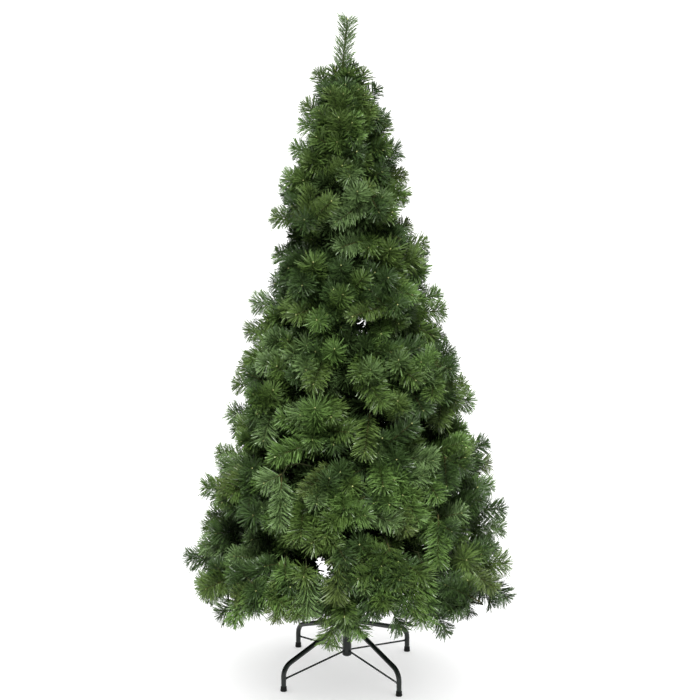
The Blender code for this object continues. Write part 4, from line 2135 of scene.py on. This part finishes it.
    def grow_top(self) -> None:
        """Grows the leading shoot and the ring of sprays round its foot."""
        leader = self.leader
        foot = np.array(leader.foot)
        end = np.array(leader.end)
        length = float(np.linalg.norm(end - foot))
        self.add(Spray(foot, unit(end - foot), np.zeros(3), length, LEADER_CUT, Tone.GREY))
        middle = np.array([leader.offset, 0.0, 0.0])
        for number in range(leader.count):
            turn = number * GOLDEN_TURN + leader.turn
            rise = math.radians(self.rng.uniform(*leader.rise))
            heading = polar(math.cos(rise), turn, math.sin(rise))
            end = polar(leader.radius, turn, leader.top - leader.drop * number) + middle
            cut = self.needle_cut(float(end[2]))
            base = end - heading * leader.length
            self.add(Spray(base, heading, np.zeros(3), leader.length, cut, self.tone()))

    def build_needles(self) -> None:
        """Builds the needles of each tone, in pieces of a limited size."""
        drifts: dict[Tone, list[NeedleSheaf]] = {tone: [] for tone in Tone}
        for spray in self.sprays:
            needles = spray.needles()
            for opening in OPENINGS:
                needles = needles[~opening.covers(needles[:, 1:3].mean(axis=1))]
            own = drifts[spray.tone]
            if not own or own[-1].triangles + 2 * len(needles) > NeedleSheaf.LIMIT:
                own.append(NeedleSheaf(f"needles_{spray.tone.name.lower()}_{len(own) + 1}"))
            own[-1].add(needles)
        for tone, own in drifts.items():
            for sheaf in own:
                sheaf.build(needle_finish(tone), self.crown.masses)

    def build(self) -> None:
        """Builds the joined pieces: needles, stems, their cut tips and the forks."""
        self.build_needles()
        stems = Sheaf("spray_stems")
        tips = Sheaf("spray_tips")
        forks = Sheaf("forks")
        for spray in self.sprays:
            if spray.has_tip:
                stems.add(*spray.stem())
                tips.add(*spray.tip())
        for path in self.forks:
            forks.add(*tube(path, np.linspace(0.0030, 0.0020, len(path)), 6))
        forks.build(FORK, smooth=True)
        stems.build(WRAP)
        tips.build(TIP)


@dataclass(frozen=True)
class Studio:
    """The floor, the lights and the camera.

    Args:
        view: The photograph's view.
        sensor: Width of the camera's sensor in millimetres.
    """

    view: View = VIEW
    sensor: float = 36.0

    def floor(self) -> bpy.types.Object:
        """Lays a wide white floor.

        Returns:
            The floor.
        """
        bpy.ops.mesh.primitive_plane_add(size=120.0, location=(0.0, 0.0, 0.0))
        floor = bpy.context.object
        floor.name = "floor"
        paper = bpy.data.materials.new("white floor")
        paper.use_nodes = True
        shader = paper.node_tree.nodes["Principled BSDF"]
        shader.inputs["Base Color"].default_value = (0.80, 0.80, 0.80, 1.0)
        shader.inputs["Roughness"].default_value = 0.9
        shader.inputs["Specular IOR Level"].default_value = 0.1
        shader.inputs["Emission Color"].default_value = (1.0, 1.0, 1.0, 1.0)
        shader.inputs["Emission Strength"].default_value = 0.26
        floor.data.materials.append(paper)
        return floor

    def share_of_light(self, name: str, piece: bpy.types.Object, state: str) -> bpy.types.Collection:
        """A group that tells a light what it lights.

        Args:
            name: The group's name.
            piece: The piece that it names.
            state: INCLUDE for that piece alone, or EXCLUDE for all but that piece.

        Returns:
            The group.
        """
        group = bpy.data.collections.new(name)
        group.objects.link(piece)
        group.collection_objects[0].light_linking.link_state = state
        return group

    def light(
        self,
        name: str,
        strength: float,
        rise: float,
        swing: float,
        spread: float,
        lit: bpy.types.Collection | None = None,
    ) -> None:
        """Hangs one far soft light.

        Args:
            name: Its name.
            strength: Its irradiance in watts to the square metre.
            rise: Its angle above level, in degrees.
            swing: Its angle to the right of the camera, in degrees.
            spread: How wide it looks from the tree, in degrees.
            lit: What it lights, where that isn't everything.
        """
        data = bpy.data.lights.new(name, "SUN")
        data.energy = strength
        data.angle = math.radians(spread)
        lamp = bpy.data.objects.new(name, data)
        lamp.rotation_euler = (math.radians(90.0 - rise), 0.0, math.radians(swing))
        lamp.light_linking.receiver_collection = lit
        bpy.context.scene.collection.objects.link(lamp)

    def build(self) -> None:
        """Builds the floor, a white surround, the soft lights and the camera."""
        floor = self.floor()
        plant = self.share_of_light("all but the floor", floor, "EXCLUDE")
        ground = self.share_of_light("the floor alone", floor, "INCLUDE")
        world = bpy.data.worlds.new("white surround")
        world.use_nodes = True
        world.node_tree.nodes["Background"].inputs["Color"].default_value = (1.0, 1.0, 1.0, 1.0)
        world.node_tree.nodes["Background"].inputs["Strength"].default_value = 0.12
        bpy.context.scene.world = world
        self.light("key", strength=7.0, rise=52.0, swing=-4.0, spread=8.0, lit=plant)
        self.light("fill", strength=0.4, rise=30.0, swing=48.0, spread=40.0)
        self.light("back", strength=2.2, rise=34.0, swing=172.0, spread=40.0, lit=plant)
        self.light("top", strength=1.1, rise=78.0, swing=180.0, spread=60.0, lit=plant)
        self.light("floor", strength=4.9, rise=90.0, swing=0.0, spread=172.0, lit=ground)
        data = bpy.data.cameras.new("camera")
        data.sensor_width = self.sensor
        data.lens = self.view.focal / self.view.side * self.sensor
        data.shift_x = (self.view.side / 2.0 - self.view.axis_column) / self.view.side
        data.clip_end = 200.0
        camera = bpy.data.objects.new("camera", data)
        camera.location = self.view.eye
        camera.rotation_euler = (math.radians(90.0 - self.view.pitch), 0.0, 0.0)
        bpy.context.scene.view_settings.view_transform = "Standard"
        bpy.context.scene.collection.objects.link(camera)
        bpy.context.scene.camera = camera


def main() -> None:
    """Builds the tree's looks in order."""
    logging.basicConfig(level=logging.INFO, format="%(name)s %(message)s")
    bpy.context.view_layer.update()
    bpy.ops.object.select_all(action="DESELECT")
    crown = Crown()
    limbs = {name: read_limb(name) for name in sorted(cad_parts) if name.startswith("bough")}
    Pole().build()
    Socket().build()
    Leg().build()
    Limbs(limbs).build()
    foliage = Foliage(crown, limbs)
    foliage.grow()
    foliage.build()
    Studio().build()


if __name__ == "__main__":
    main()
